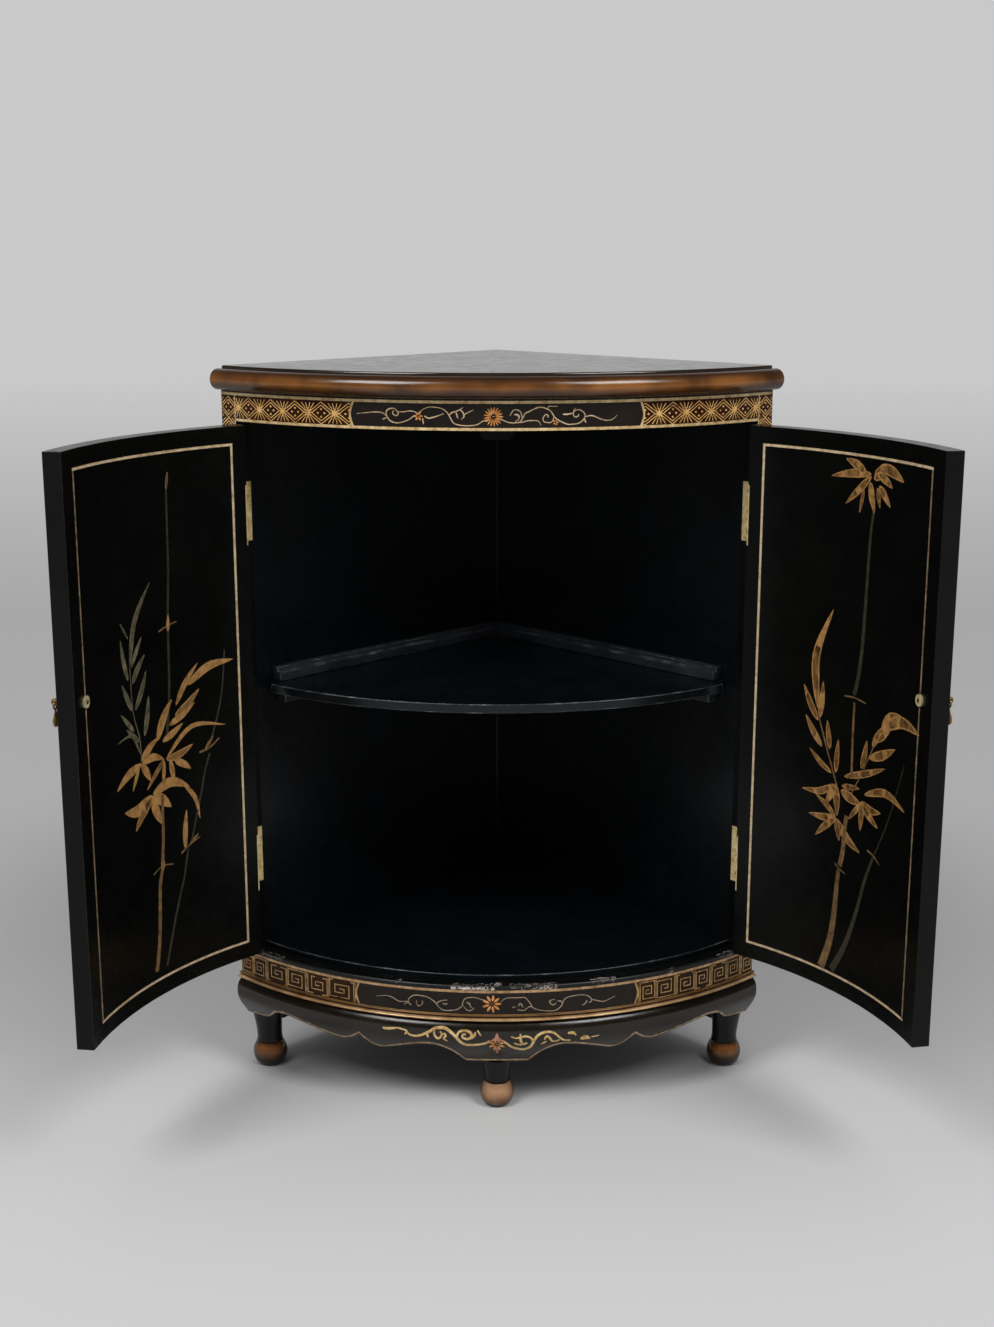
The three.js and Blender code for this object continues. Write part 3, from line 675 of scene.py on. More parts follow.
def diaper_line(start, end, inner_limit):
    """A thin line of the diaper, cut off at its field's inner limit and at the front's end."""
    a, b = sorted((Vector(start), Vector(end)), key=lambda point: abs(point.x))
    for limit, inwards in ((inner_limit, 1), (front_end, -1)):
        if (abs(a.x) - limit) * inwards < 0 and (abs(b.x) - limit) * inwards < 0:
            return
        t = (limit - abs(a.x)) / max(1e-6, abs(b.x) - abs(a.x))
        if 0 < t < 1:
            cut = a.lerp(b, t)
            a, b = (cut, b) if inwards > 0 else (a, cut)
    diaper.stroke([a, b], thin_line)


def diaper_lozenge(centre, middle, corners, inner_limit):
    """A lozenge in two lines with its flower, or the half of one that the corners name."""
    for share in line_shares:
        for x, y in corners:
            side_tip = (centre + x * share * lozenge_length, middle)
            diaper_line(side_tip, (centre, middle + y * share * band_height), inner_limit)
    for x, y in dot_places:
        spot = Vector((centre + x * lozenge_length, middle + y * band_height))
        half = Vector((dot_length / 2, 0))
        in_field = inner_limit + dot_margin < abs(spot.x) < front_end - dot_margin
        if in_field and (corners == whole or y * corners[0][1] > 0):
            diaper.stroke([spot - half, spot, spot + half], 0.0006, 0.0006, belly=0.002)


def diaper_star(centre, middle):
    """A small star of eight pointed rays."""
    start = Vector((centre, middle))
    for turn in star_turns:
        tip = start + Vector((math.cos(turn), math.sin(turn))) * star_radius
        diaper.stroke([start, start.lerp(tip, 0.5), tip], 0.0005, 0.0003, belly=0.0015)


band_limit = cartouche_end + 0.003  # the diaper starts beyond the bowed line
post_limit = post_line + 0.001  # and on a post beside the rail's end
row_height = band_height / 2
post_rows = int((band_bottom - post_foot) / row_height)
for side in (-1, 1):
    # The first and the last lozenge are cut off by the ends of the field
    for i in range(-1, 6):
        star = side * (first_star + i * lozenge_length)
        diaper_lozenge(star + side * lozenge_length / 2, band_middle, whole, band_limit)
        if band_limit + star_margins[0] < abs(star) < front_end - star_margins[1]:
            diaper_star(star, band_middle)
        for lean in ray_leans:
            for y in (-1, 1):
                near = (star + lean * ray_start, band_middle + ray_start * y)
                far = (star + lean * ray_end, band_middle + ray_end * y)
                diaper_line(near, far, band_limit)
    for row in range(post_rows + 1):
        middle = band_bottom - row * row_height
        corners = lower_half if row == 0 else upper_half if row == post_rows else whole
        # Counted in lozenges from the first star, every second row is shifted by a half
        for i in (4, 5) if row % 2 == 0 else (4.5,):
            diaper_lozenge(side * (first_star + i * lozenge_length), middle, corners, post_limit)
        if row % 2 == 0 and 0 < row < post_rows:
            diaper_star(side * (first_star + 4.5 * lozenge_length), middle)
diaper.lay("frieze_diaper", on_front, diaper_gold, carcass)


def bowed_end(painting, side, cartouche, bottom, top):
    """The bowed gold line that ends the middle panel on one side."""
    bow = [
        (side * cartouche, top),
        (side * (cartouche + panel_bow), (top + bottom) / 2),
        (side * cartouche, bottom),
    ]
    painting.stroke(smooth(bow), bow_line)


post_edge_line = 0.0012  # width of the line down each post's inner edge
post_margin = 0.0012  # from the rail's end to the middle of that line
frieze_lines = Painting()
level_line(frieze_lines, front_end, frieze_top, band_line)
level_line(frieze_lines, post_line, frieze_bottom + band_line / 2, band_line)
for side in (-1, 1):
    bowed_end(frieze_lines, side, cartouche_end, frieze_bottom, frieze_top)
    beside_rail = side * (post_line + post_margin)
    frieze_lines.stroke([(beside_rail, frieze_top), (beside_rail, post_foot)], post_edge_line)
frieze_lines.lay("frieze_gold_lines", on_front, line_gold, carcass)


petal_start = 0.26  # in shares of the flower's radius, as are the next three
petal_width = 2.1  # divided by the number of petals
eye_half = 0.14
eye_belly = 0.3
petal_ends = (0.0004, 0.0003)


def flower(painting, x, y, radius, petals, turn=0.0):
    """A chrysanthemum seen from the front: petals round an eye."""
    centre = Vector((x, y))
    for i in range(petals):
        angle = turn + 2 * math.pi * i / petals
        ray = Vector((math.cos(angle), math.sin(angle))) * radius
        start, tip = centre + ray * petal_start, centre + ray
        petal = [start, start.lerp(tip, 0.35), start.lerp(tip, 0.75), tip]
        painting.stroke(petal, *petal_ends, belly=radius * petal_width / petals)
    eye = Vector((radius * eye_half, 0))
    painting.stroke([centre - eye, centre + eye], 0.0004, 0.0004, belly=radius * eye_belly)


def brush(painting, level, strokes):
    """Strokes in millimetres from the middle, along and up: their path, and how wide they start,
    end and swell."""
    for path, start, end, belly in strokes:
        path = smooth([(x * 0.001, level + y * 0.001) for x, y in path], 4)
        painting.stroke(path, start * 0.001, end * 0.001, belly * 0.001)


# The vine was painted freehand, so its two halves differ
vine = Painting()
brush(vine, band_middle, [
    ([(-10, -3), (-15, -5), (-20, -8), (-27, -9), (-34, -9), (-40, -8), (-44, -6), (-48, 1), (-51,
      5), (-56, 8), (-62, 9), (-68, 9), (-74, 7), (-80, 2)], 0.77, 0.77, 0.26),
    ([(-48, 1), (-45, 4), (-41, 5), (-37, 7), (-34, 9)], 0.68, 0.51, 0.68),
    ([(-37, 7), (-34, 4), (-33, 0), (-36, -3)], 0.59, 0.42, 1),
    ([(-33, 2), (-29, 4), (-23, 7)], 0.59, 0.34, 0.59),
    ([(-41, 4), (-39, -2)], 0.51, 0.51, 1.2),
    ([(-73, 0), (-69, -2), (-64, -1), (-58, 1), (-53, 3)], 1, 0.42, 0.68),
    ([(-75, -2), (-74, -8)], 0.59, 0.51, 0.85),
    ([(-84, 0), (-88, -3), (-92, -5), (-99, -7), (-104, -7), (-109, -5), (-112, -1), (-113, 3),
      (-111, 6), (-108, 7), (-104, 7), (-101, 4), (-100, 2), (-102, 0), (-105, 1), (-106, 3), (-105,
      5)], 0.77, 1, 0.34),
    ([(-100, 4), (-94, 4), (-88, 5), (-82, 4)], 0.68, 0.68, 0.51),
    ([(-112, -1), (-116, 2), (-120, 3), (-128, 3), (-135, 2), (-145, 1)], 0.68, 0.42, 0.42),
    ([(-112, -2), (-117, -4)], 0.59, 0.34, 0.85),
    ([(4, -2), (7, -4), (13, -6), (20, -6), (23, -5), (26, -1), (28, 3), (32, 5), (36, 7), (41, 9),
      (46, 9), (51, 7), (54, 5), (56, 2), (58, -1), (62, -4), (66, -6), (71, -8), (77, -8), (83,
      -7), (87, -4), (89, 0), (88, 3), (84, 6), (80, 6), (77, 4), (77, 1), (79, -1), (82, 0), (82,
      2)], 0.77, 1, 0.26),
    ([(25, -1), (24, 4), (22, 6), (19, 7), (16, 6), (14, 3), (13, 1)], 0.77, 0.94, 0),
    ([(17, 2), (20, 2), (22, 0), (21, -3), (18, -5)], 0.59, 0.59, 1.2),
    ([(23, -6), (27, -5), (32, -4), (38, -4), (42, -5), (44, -9)], 0.77, 0.59, 0.26),
    ([(57, -1), (56, -4), (54, -6), (50, -6), (47, -5), (46, -2), (47, 0), (49, 2), (51, 1), (51,
      -1)], 0.77, 1.1, 0),
    ([(51, 7), (52, 10), (56, 10), (61, 10)], 0.59, 0.34, 0.42),
    ([(66, 2), (71, 2), (76, 3)], 0.51, 0.51, 1.2),
    ([(77, 5), (79, 8)], 0.51, 0.34, 0.68),
    ([(89, -1), (93, 0), (97, 0), (102, -2), (107, -4), (113, -5), (118, -4), (123, 0)], 0.77, 0.42,
      0.59),
    ([(88, -2), (90, -7)], 0.51, 0.51, 1),
])
blooms = Painting()
flower(blooms, -0.0035, band_middle, 0.0098, 17)
flower(blooms, -0.0795, band_middle, 0.0048, 6)
flower(blooms, 0.059, band_middle - 0.006, 0.003, 5)
vine.lay("frieze_vine", on_front, pale_gold, carcass)
blooms.lay("frieze_flowers", on_front, orange_gold, carcass)


# Side panels and posts. Flat lacquered boards stand against the walls and meet in the corner; a
# narrow curved post at the front of each carries the hinges, which are let into its edge.

# Inside, the black lacquer has a cold blue cast
inner_lacquer = lacquer("blue_black_lacquer", "#060A0D", "#0A1015", gloss=0.2, shine=0.35)


def refinish(cad_node, finish):
    """Gives a CAD piece that keeps its shape its finish."""
    materials = frame["nodes"][cad_node].data.materials
    materials.clear()
    materials.append(finish)


def copy_of(cad_node, name):
    """The CAD piece's own shape as a new mesh, merged, with its flat faces whole."""
    piece = add_piece(name, frame["nodes"][cad_node].data.copy())
    piece.data.name = name
    piece.data.materials.clear()
    bpy.ops.object.mode_set(mode="EDIT")
    bpy.ops.mesh.select_all(action="SELECT")
    bpy.ops.mesh.remove_doubles(threshold=merge_distance)
    bpy.ops.mesh.dissolve_limited(angle_limit=math.radians(0.6))
    bpy.ops.object.mode_set(mode="OBJECT")
    return piece


for side in ("left", "right"):
    refinish(f"{side}_side_panel", inner_lacquer)
    post = copy_of(f"{side}_post", f"{side}_front_post")
    post.data.materials.append(black_lacquer)
    round_edges(post, 0.0005)
    fit(post, carcass, "black_lacquer", f"{side}_post")

# The glue line that shows as a thin dark seam where the two panels meet
seam_radius = 0.0016
panel_thickness = 0.018
panel_low, panel_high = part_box("left_side_panel")
select()
bpy.ops.mesh.primitive_cylinder_add(
    vertices=8,
    radius=seam_radius,
    depth=panel_high.z - panel_low.z,
    location=(0, corner.y - panel_thickness * math.sqrt(2), (panel_low.z + panel_high.z) / 2),
)
seam = settle("corner_glue_line")
seam.data.materials.append(black_lacquer)
fit(seam, carcass, "black_lacquer")


# Bottom rail. The curved rail under the doors, glued between the side panels, with a rounded top
# edge. It is painted with a gold key fret at each end and a panel with a vine in the middle.

# Use has worn the lacquer of its top edge through in small chips
chipped = patchy(
    "chipped_lacquer_ledge",
    0.014,
    [(0.62, "#0C0D0D"), (0.66, "#3A332C"), (0.7, "#8A8076")],
    {"Roughness": 0.35},
    detail=8,
    contrast=0.75,
)
base_low, base_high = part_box("bottom_rail")
bottom_rail = curved_board(
    "bottom_rail_board", front_radius - rail_thickness, front_radius, base_low.z, base_high.z
)
bottom_rail.data.materials.append(black_lacquer)
ledge_round = 0.0022
round_edges(bottom_rail, ledge_round, 4, worn=chipped)
fit(bottom_rail, carcass, "gilt_lacquer", "bottom_rail")


def on_ledge(along, up, lift):
    """A point on the rail's rounded top edge: up counts from where the front starts to round."""
    turn = min(max(up / ledge_round, 0), math.pi / 2)
    rise = ledge_round * math.sin(turn) + min(up, 0) + lift * math.sin(turn)
    back = ledge_round * (1 - math.cos(turn)) + max(0, up - ledge_round * math.pi / 2)
    out = lift * math.cos(turn)
    height = base_high.z - ledge_round + rise
    return at(front_radius - back + out, along / front_radius, height)


# Bare primer shows where the lacquer has flaked off: from, to, how far up, and how wide, in
# millimetres
bare_primer = patchy(
    "bare_primer_in_chips",
    0.005,
    [(0.32, "#6A5248"), (0.48, "#B8A8A0"), (0.62, "#E6DEDA")],
    {"Roughness": 0.6},
)
flakes = Painting()
dice = random.Random(7)
for start, end, up, size in (
    (-51, -46, 0.6, 3.2), (-46, -37, 2.6, 2.6), (-38, -20, 1.0, 2.4), (-22, -2, 0.8, 4.2), (-50, -4,
    -0.4, 1.4), (14, 34, 2.6, 2.6), (35, 43, 0.8, 4.0), (40, 66, 2.6, 3.0), (44, 64, 0.2, 1.8),
    (104, 130, 3.8, 2.8), (-112, -107, 4.0, 2.4), (-2, 3, 6.5, 2.4), (196, 202, 1.0, 2.6), (-297,
    -258, 2.8, 2.4), (268, 288, 2.2, 2.8),
):
    here = start
    while here < end:
        length = min(end - here, dice.uniform(1.5, 4.5))
        level = up + dice.uniform(-0.5, 0.5)
        width = size * dice.uniform(1.0, 2.0)
        path = [
            (here, level),
            (here + length / 2, level + dice.uniform(-0.4, 0.4)),
            (here + length + 1, level + dice.uniform(-0.3, 0.3)),
        ]
        path = smooth([(x * 0.001, y * 0.001) for x, y in path], 3)
        flakes.stroke(path, width * 0.0008, width * 0.0006, belly=width * 0.0012)
        here += length
flakes.lay("ledge_chips", on_ledge, bare_primer, carcass, relief=0.00006)

# The painting down here is duller than the frieze: an olive ground, and rubbed, faded gold
olive_ground = lacquer("olive_brown_ground", "#291809", "#3A2610", gloss=0.4, shine=0.12)
base_line_gold = gold_paint("dull_rubbed_gold_line", "#CFAA7C", "#A68056", "#6C4C30", metal=0.2)
fret_gold = gold_paint("dull_gold_fret", "#D2AA6C", "#A8804A", "#624622", metal=0.2)
faded_gold = gold_paint("faded_gold_vine", "#BCA88C", "#96826A", "#5E4E3C", metal=0.15)

fret_bottom = 0.1123
fret_top = 0.1399
fret_height = fret_top - fret_bottom - band_line
fret_middle = (fret_top + fret_bottom) / 2
base_cartouche = 0.1543

fret_ground = Painting()
for side in (-1, 1):
    inner_end = side * (base_cartouche + under_line)
    flat_band(fret_ground, inner_end, side * front_end, fret_bottom, fret_top)
middle_ground = Painting()
flat_band(middle_ground, -base_cartouche, base_cartouche, fret_bottom, fret_top)
middle_ground.lay("base_panel_ground", on_front, panel_ground, carcass, relief=panel_relief)
fret_ground.lay("key_fret_ground", on_front, olive_ground, carcass, relief=ground_relief)

base_lines = Painting()
level_line(base_lines, front_end, fret_top, band_line)
level_line(base_lines, front_end, fret_bottom, band_line)
for side in (-1, 1):
    bowed_end(base_lines, side, base_cartouche, fret_bottom, fret_top)
base_lines.lay("base_gold_lines", on_front, base_line_gold, carcass)

# One square spiral of the key fret, in shares of its side, from its outer end inwards
spiral_shares = [
    (-0.5, -0.5), (-0.5, 0.5), (0.5, 0.5), (0.5, -0.42), (-0.3, -0.42), (-0.3, 0.26), (0.28, 0.26),
    (0.28, -0.17), (-0.1, -0.17), (-0.1, 0.04), (0.08, 0.04),
]
fret_line = 0.001
divider_line = 0.0007
unit_margin = 0.0034
# The painter drew six units on the left and seven on the right: where each ends, along the front
fret_edges = {
    -1: (0.1593, 0.193, 0.222, 0.2497, 0.281, 0.303, 0.3243),
    1: (0.1593, 0.1807, 0.2066, 0.2327, 0.2559, 0.2805, 0.3032, 0.3243),
}
fret_square = fret_height * 0.86

key_fret = Painting()
for side in (-1, 1):
    for i, (near, far) in enumerate(zip(fret_edges[side], fret_edges[side][1:])):
        centre = (near + far) / 2
        flip = -1 if i % 2 else 1
        unit_width = far - near - unit_margin
        spiral = [
            Vector((side * (centre + x * flip * unit_width), fret_middle + y * flip * fret_square))
            for x, y in spiral_shares
        ]
        for a, b in zip(spiral, spiral[1:]):
            overlap = (b - a).normalized() * fret_line / 2
            key_fret.stroke([a - overlap, b + overlap], fret_line)
        divider = [(side * near, fret_middle + y * fret_height / 2) for y in (-1, 1)]
        key_fret.stroke(divider, divider_line)
key_fret.lay("key_fret", on_front, fret_gold, carcass)

base_vine = Painting()
brush(base_vine, fret_middle, [
    ([(-12, 4), (-17, 5), (-23, 7), (-30, 7), (-35, 5), (-37, 1), (-38, -3), (-41, -6), (-45, -8),
      (-52, -9), (-58, -9), (-63, -6), (-66, -2), (-69, 1), (-72, 3), (-76, 5), (-82, 6), (-90, 6),
      (-95, 3), (-97, 0), (-97, -3), (-94, -6)], 0.77, 0.94, 0.17),
    ([(-37, -2), (-35, -5), (-32, -8), (-28, -8), (-25, -5)], 0.68, 0.94, 0),
    ([(-33, 1), (-30, 0), (-29, -3), (-27, -5)], 1.4, 0.51, 0.51),
    ([(-66, -2), (-64, 0), (-60, 2), (-54, 3)], 0.77, 0.51, 0.51),
    ([(-59, -1), (-56, -2), (-54, -1)], 0.68, 0.59, 0.68),
    ([(-88, 0), (-88, -3), (-86, -6), (-83, -5), (-81, -2), (-82, 0)], 0.77, 0.77, 0.17),
    ([(-98, -2), (-107, -3), (-112, -1), (-116, 1), (-122, 2), (-128, 1), (-134, 0)], 0.68, 0.34,
      0.42),
    ([(-98, -3), (-102, -6)], 0.59, 0.34, 0.68),
    ([(4, 2), (7, 5), (12, 7), (18, 7), (25, 7), (30, 7), (33, 4), (36, 0), (38, -4), (42, -7), (50,
      -9), (59, -10), (65, -9), (70, -5), (72, 0), (74, 3), (78, 5), (86, 6), (94, 6), (100, 4),
      (103, 1), (104, -2), (101, -4)], 0.77, 0.85, 0.17),
    ([(38, -4), (35, -4), (32, -6), (29, -8), (22, -7)], 0.68, 0.94, 0),
    ([(23, -3), (25, 0), (27, -2), (28, -5)], 0.85, 0.59, 0.77),
    ([(16, -4), (21, -4)], 0.42, 0.42, 0.77),
    ([(71, -1), (69, 1), (65, 1)], 0.59, 0.51, 0.85),
    ([(63, 3), (60, 3), (57, 1), (59, -2), (62, -3), (64, -1)], 1, 0.77, 0.42),
    ([(99, -1), (96, -5), (93, -6)], 0.68, 0.51, 0.85),
    ([(103, 0), (109, -2), (115, -4), (120, -4), (125, -2), (131, 0)], 0.68, 0.34, 0.51),
])
base_blooms = Painting()
flower(base_blooms, -0.0055, fret_middle, 0.0105, 9)
base_vine.lay("base_vine", on_front, faded_gold, carcass)
base_blooms.lay("base_flowers", on_front, orange_gold, carcass)


# Bead. Two gilded reeds, glued under the band in the angle above the apron. The lower one is the
# fatter and stands further out.
bead_low, bead_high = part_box("base_bead")
bead_reach = corner.y - bead_low.y - front_radius
reed_split = bead_low.z + (bead_high.z - bead_low.z) * 0.58
quirk = 0.0008  # the dark groove between the reeds

# Gold leaf on a brown ground, rubbed in patches, with its shine and shade painted on by height
bead_gold, tree, shader, place = new_material("gilded_reed")
height = node(tree, "ShaderNodeSeparateXYZ", {"Vector": place}).outputs["Z"]
level = node(
    tree,
    "ShaderNodeMapRange",
    {"Value": height, "From Min": bead_low.z, "From Max": bead_high.z},
).outputs["Result"]
# A painted highlight on the lower reed's crest, painted shade underneath it and in the quirk above
# it, and a duller upper reed
gilding_and_painted_light = ramp(
    tree,
    level,
    [
        (0.0, "#1E1006"), (0.16, "#6E4A22"), (0.3, "#C4A074"), (0.45, "#D4B084"),
        (0.56, "#86603A"), (0.64, "#3C2614"), (0.8, "#58391C"), (0.92, "#8A6638"),
    ],
)
thin = node(
    tree,
    "ShaderNodeTexNoise",
    {"Vector": place, "Scale": 1 / 0.03, "Detail": 4, "Roughness": 0.6},
).outputs["Fac"]
rubbed = ramp(tree, thin, [(0.35, "#B8A488"), (0.6, "#FFFFFF")])
rubbed_gilding_and_painted_light = node(
    tree,
    "ShaderNodeMixRGB",
    {"Fac": 1, "Color1": gilding_and_painted_light, "Color2": rubbed},
    blend_type="MULTIPLY",
).outputs["Color"]
plug(tree, shader, {"Base Color": rubbed_gilding_and_painted_light, "Metallic": 0.25, "Roughness": 0.32})

reeds = [
    round_strip(
        "gilded_reeds",
        20,
        front_radius + quirk,
        (low + high) / 2,
        bead_reach * share - quirk,
        (high - low - quirk) / 2,
    )
    for low, high, share in ((bead_low.z, reed_split, 1), (reed_split, bead_high.z, 0.5))
]
select(*reeds)
bpy.ops.object.join()
reeds[0].data.materials.append(bead_gold)
bpy.ops.object.shade_smooth_by_angle(angle=math.radians(40))
fit(reeds[0], carcass, "gilt_lacquer", "base_bead")


# Apron. A carved bombé skirt of black-lacquered wood, scalloped along its lower edge, which is
# lined with gold. A gold scroll spreads on each side of a lozenge in the middle.
def skin(piece):
    """The piece's surface, to lay painting on."""
    mesh = piece.data
    corners = [list(face.vertices) for face in mesh.polygons]
    return BVHTree.FromPolygons([vertex.co for vertex in mesh.vertices], corners)


# The apron's lacquer is a little browner than the rest and polished brighter
apron_lacquer = lacquer(
    "bright_black_lacquer", "#140F07", "#221A0E", gloss=0.17, shine=0.5, peel=0.02
)
apron_low, apron_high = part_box("apron")
apron_bulge = 0.007
apron_depth = 0.0211  # from the cupboard's front to its flat inner side
apron_back = front_radius - apron_depth
# The bombé face from its top down: share of the depth, share of the bulge
bombe = smooth([
    (0, 0.05), (0.03, 0.33), (0.08, 0.66), (0.15, 0.9), (0.245, 1), (0.4, 0.93), (0.57, 0.4), (0.72,
    -0.3), (0.87, -1), (1, -1.3),
], 4)
# The lower edge from the middle out, in millimetres: a flat tongue, two lobes with a sharp cusp
# between them, and the rise to the side foot
tongue = [(0, 53.7), (10, 53.7), (33.5, 53.7)]
inner_lobe = smooth([
    (33.5, 53.7), (37, 55.6), (43, 62), (52, 70), (65, 76), (78, 76.7), (94, 74), (114, 68), (127,
    64), (137, 64.6), (146, 71.6), (153, 80),
])
outer_lobe = smooth([
    (153, 80), (164, 72), (178, 67.7), (199, 72), (218, 77), (233, 80), (246, 82), (263, 80), (274,
    72.4), (285, 66.5), (310, 62.3), (325.9, 60.3),
])
lower_edge = [Vector(p) * 0.001 for p in tongue]
lower_edge += [p * 0.001 for p in inner_lobe[1:] + outer_lobe[1:]]


def between(table, x):
    """The value of a table of points at x."""
    for a, b in zip(table, table[1:]):
        if x <= b.x:
            return a.y + (b.y - a.y) * (x - a.x) / (b.x - a.x)
    return table[-1].y


def scallop(along):
    """How high the apron's lower edge is there."""
    return between(lower_edge, abs(along))


apron_rows = 22
row_crowding = 1.15  # the rows lie closer together near the top
columns = [-p.x for p in reversed(lower_edge[1:])] + [p.x for p in lower_edge]
points = []
for along in columns:
    low = scallop(along)
    for i in range(apron_rows):
        up = apron_high.z + (low - apron_high.z) * (i / (apron_rows - 1)) ** row_crowding
        share = (apron_high.z - up) / (apron_high.z - apron_low.z)
        bulge = apron_bulge * between(bombe, share)
        points.append(at(front_radius + bulge, along / front_radius, up))
    points.append(at(apron_back, along / front_radius, low))
    points.append(at(apron_back, along / front_radius, apron_high.z))
ring = apron_rows + 2
last = (len(columns) - 1) * ring
faces = [tuple(range(ring)), tuple(range(last + ring - 1, last - 1, -1))]
for column in range(len(columns) - 1):
    a, b = column * ring, (column + 1) * ring
    for i in range(ring):
        after = (i + 1) % ring
        faces.append((a + i, b + i, b + after, a + after))
mesh = bpy.data.meshes.new("bombe_apron")
mesh.from_pydata(points, [], faces)
apron = add_piece("bombe_apron", mesh)
close_mesh()
apron.data.materials.append(apron_lacquer)
round_edges(apron, 0.0011, 3)
fit(apron, carcass, "black_lacquer", "apron")
apron_skin = skin(apron)
clear_of_bulge = 0.05  # the face is looked for from this far in front


def on_apron(along, up, lift):
    """A point on the apron's bulging face."""
    start = at(front_radius + clear_of_bulge, along / front_radius, up)
    place, normal, _, _ = apron_skin.ray_cast(start, corner + Vector((0, 0, up)) - start)
    return place + normal * lift


# Its line is dull from wear, the scroll is the brightest gold on the cupboard
edge_gold = gold_paint("dull_gold_edge", "#C2A47C", "#8E7452", "#54432C", metal=0.15)
edge_line = 0.002
edge_margin = 0.003  # from the apron's lower edge to the gold line
apron_end = half_corner * front_radius - 0.004
apron_edge = Painting()
apron_edge.stroke(
    [(x, scallop(x) + edge_margin) for x in columns if abs(x) < apron_end], edge_line
)
apron_edge.lay("apron_gold_edge", on_apron, edge_gold, carcass)

# The scroll, in millimetres along from the middle and above the floor
scroll_gold = gold_paint("bright_gold_scroll", "#F0D49C", "#CFA868", "#8A683A", metal=0.15)
apron_scroll = Painting()
brush(apron_scroll, 0, [
    ([(-8, 86), (-12, 83), (-18, 81), (-25, 80), (-32, 80), (-37, 82), (-41, 86), (-44, 90), (-48,
      94), (-52, 97), (-56, 99), (-62, 99), (-67, 98), (-71, 95), (-75, 93), (-80, 90), (-86, 88),
      (-92, 88), (-96, 90), (-98, 93), (-102, 94), (-108, 95)], 2.2, 1.5, 1.4),
    ([(-43, 90), (-41, 95), (-37, 97), (-32, 97), (-28, 95), (-27, 91), (-30, 88), (-34, 88), (-37,
      90), (-36, 93), (-33, 93)], 1.8, 2.0, 1.0),
    ([(-28, 88), (-24, 92), (-23, 96)], 1.0, 1.0, 1.8),
    ([(-21, 98), (-17, 92)], 0.6, 0.6, 1.1),
    ([(-67, 96), (-67, 91), (-64, 87), (-61, 88), (-59, 92), (-61, 95)], 1.5, 1.5, 1.0),
    ([(-59, 92), (-56, 93), (-55, 90), (-57, 87), (-53, 84)], 1.0, 0.9, 1.4),
    ([(-75, 92), (-74, 87)], 1.8, 0.8, 1.1),
    ([(-97, 92), (-100, 88)], 1.2, 0.6, 1.1),
    ([(-125, 93), (-118, 93), (-108, 95)], 0.8, 1.0, 2.2),
    ([(6, 86), (11, 82), (16, 77), (23, 74), (29, 73), (35, 76), (38, 81), (40, 86), (43, 91), (48,
      94), (54, 95), (60, 94), (64, 91), (68, 87), (72, 84), (79, 83)], 2.1, 1.5, 1.2),
    ([(39, 82), (38, 86), (36, 89), (31, 91), (26, 90), (20, 89), (15, 91)], 1.5, 1.1, 0.9),
    ([(25, 94), (25, 89), (26, 84), (29, 81), (32, 83)], 1.0, 1.5, 1.5),
    ([(18, 83), (22, 81), (27, 80)], 0.9, 1.1, 1.2),
    ([(51, 86), (52, 89), (54, 90), (57, 87), (59, 84), (63, 83), (67, 85)], 1.8, 1.1, 0.8),
    ([(47, 80), (50, 82), (53, 84)], 1.0, 0.9, 1.2),
    ([(76, 92), (82, 92), (85, 89)], 1.5, 0.9, 1.9),
    ([(90, 84), (96, 85), (101, 83)], 1.2, 1.2, 4.2),
    ([(102, 85), (106, 85), (111, 86)], 1.0, 0.5, 0.5),
])
apron_scroll.lay("apron_scroll", on_apron, scroll_gold, carcass)

apron_bloom = Painting()
flower(apron_bloom, 0, 0.081, 0.0092, 8, turn=math.pi / 8)
apron_bloom.lay("apron_flower", on_apron, orange_gold, carcass)
rose_gold = gold_paint("rose_gold_tip", "#D09A86", "#B0786A", "#7A4A40", metal=0.15)
apron_tips = Painting()
brush(apron_tips, 0, [
    ([(0, 86), (0, 90), (0, 95)], 2.6, 0.6, 3.0),
    ([(0, 76), (0, 72), (0, 67)], 1.8, 0.6, 2.2),
    ([(-8, 82), (-6, 86), (-2, 88)], 0.6, 0.6, 1.4),
    ([(8, 82), (6, 86), (2, 88)], 0.6, 0.6, 1.4),
])
apron_tips.lay("apron_flower_tips", on_apron, rose_gold, carcass)


# Base. Rails along the walls, and blocks in the corners that the feet are let into. They are plain
# blackened wood and can't be seen from in front.
for name in ("left_base_rail", "right_base_rail"):
    refinish(name, black_lacquer)
for name in ("front", "rear", "left", "right"):
    refinish(f"{name}_foot_block", black_lacquer)


# Feet. Each is turned and carved from one piece: a black leg that flares out under the apron, on a
# ball lacquered copper-gold, with painted shade on its underside.
ball_radius = 0.019
ball_height = 0.028


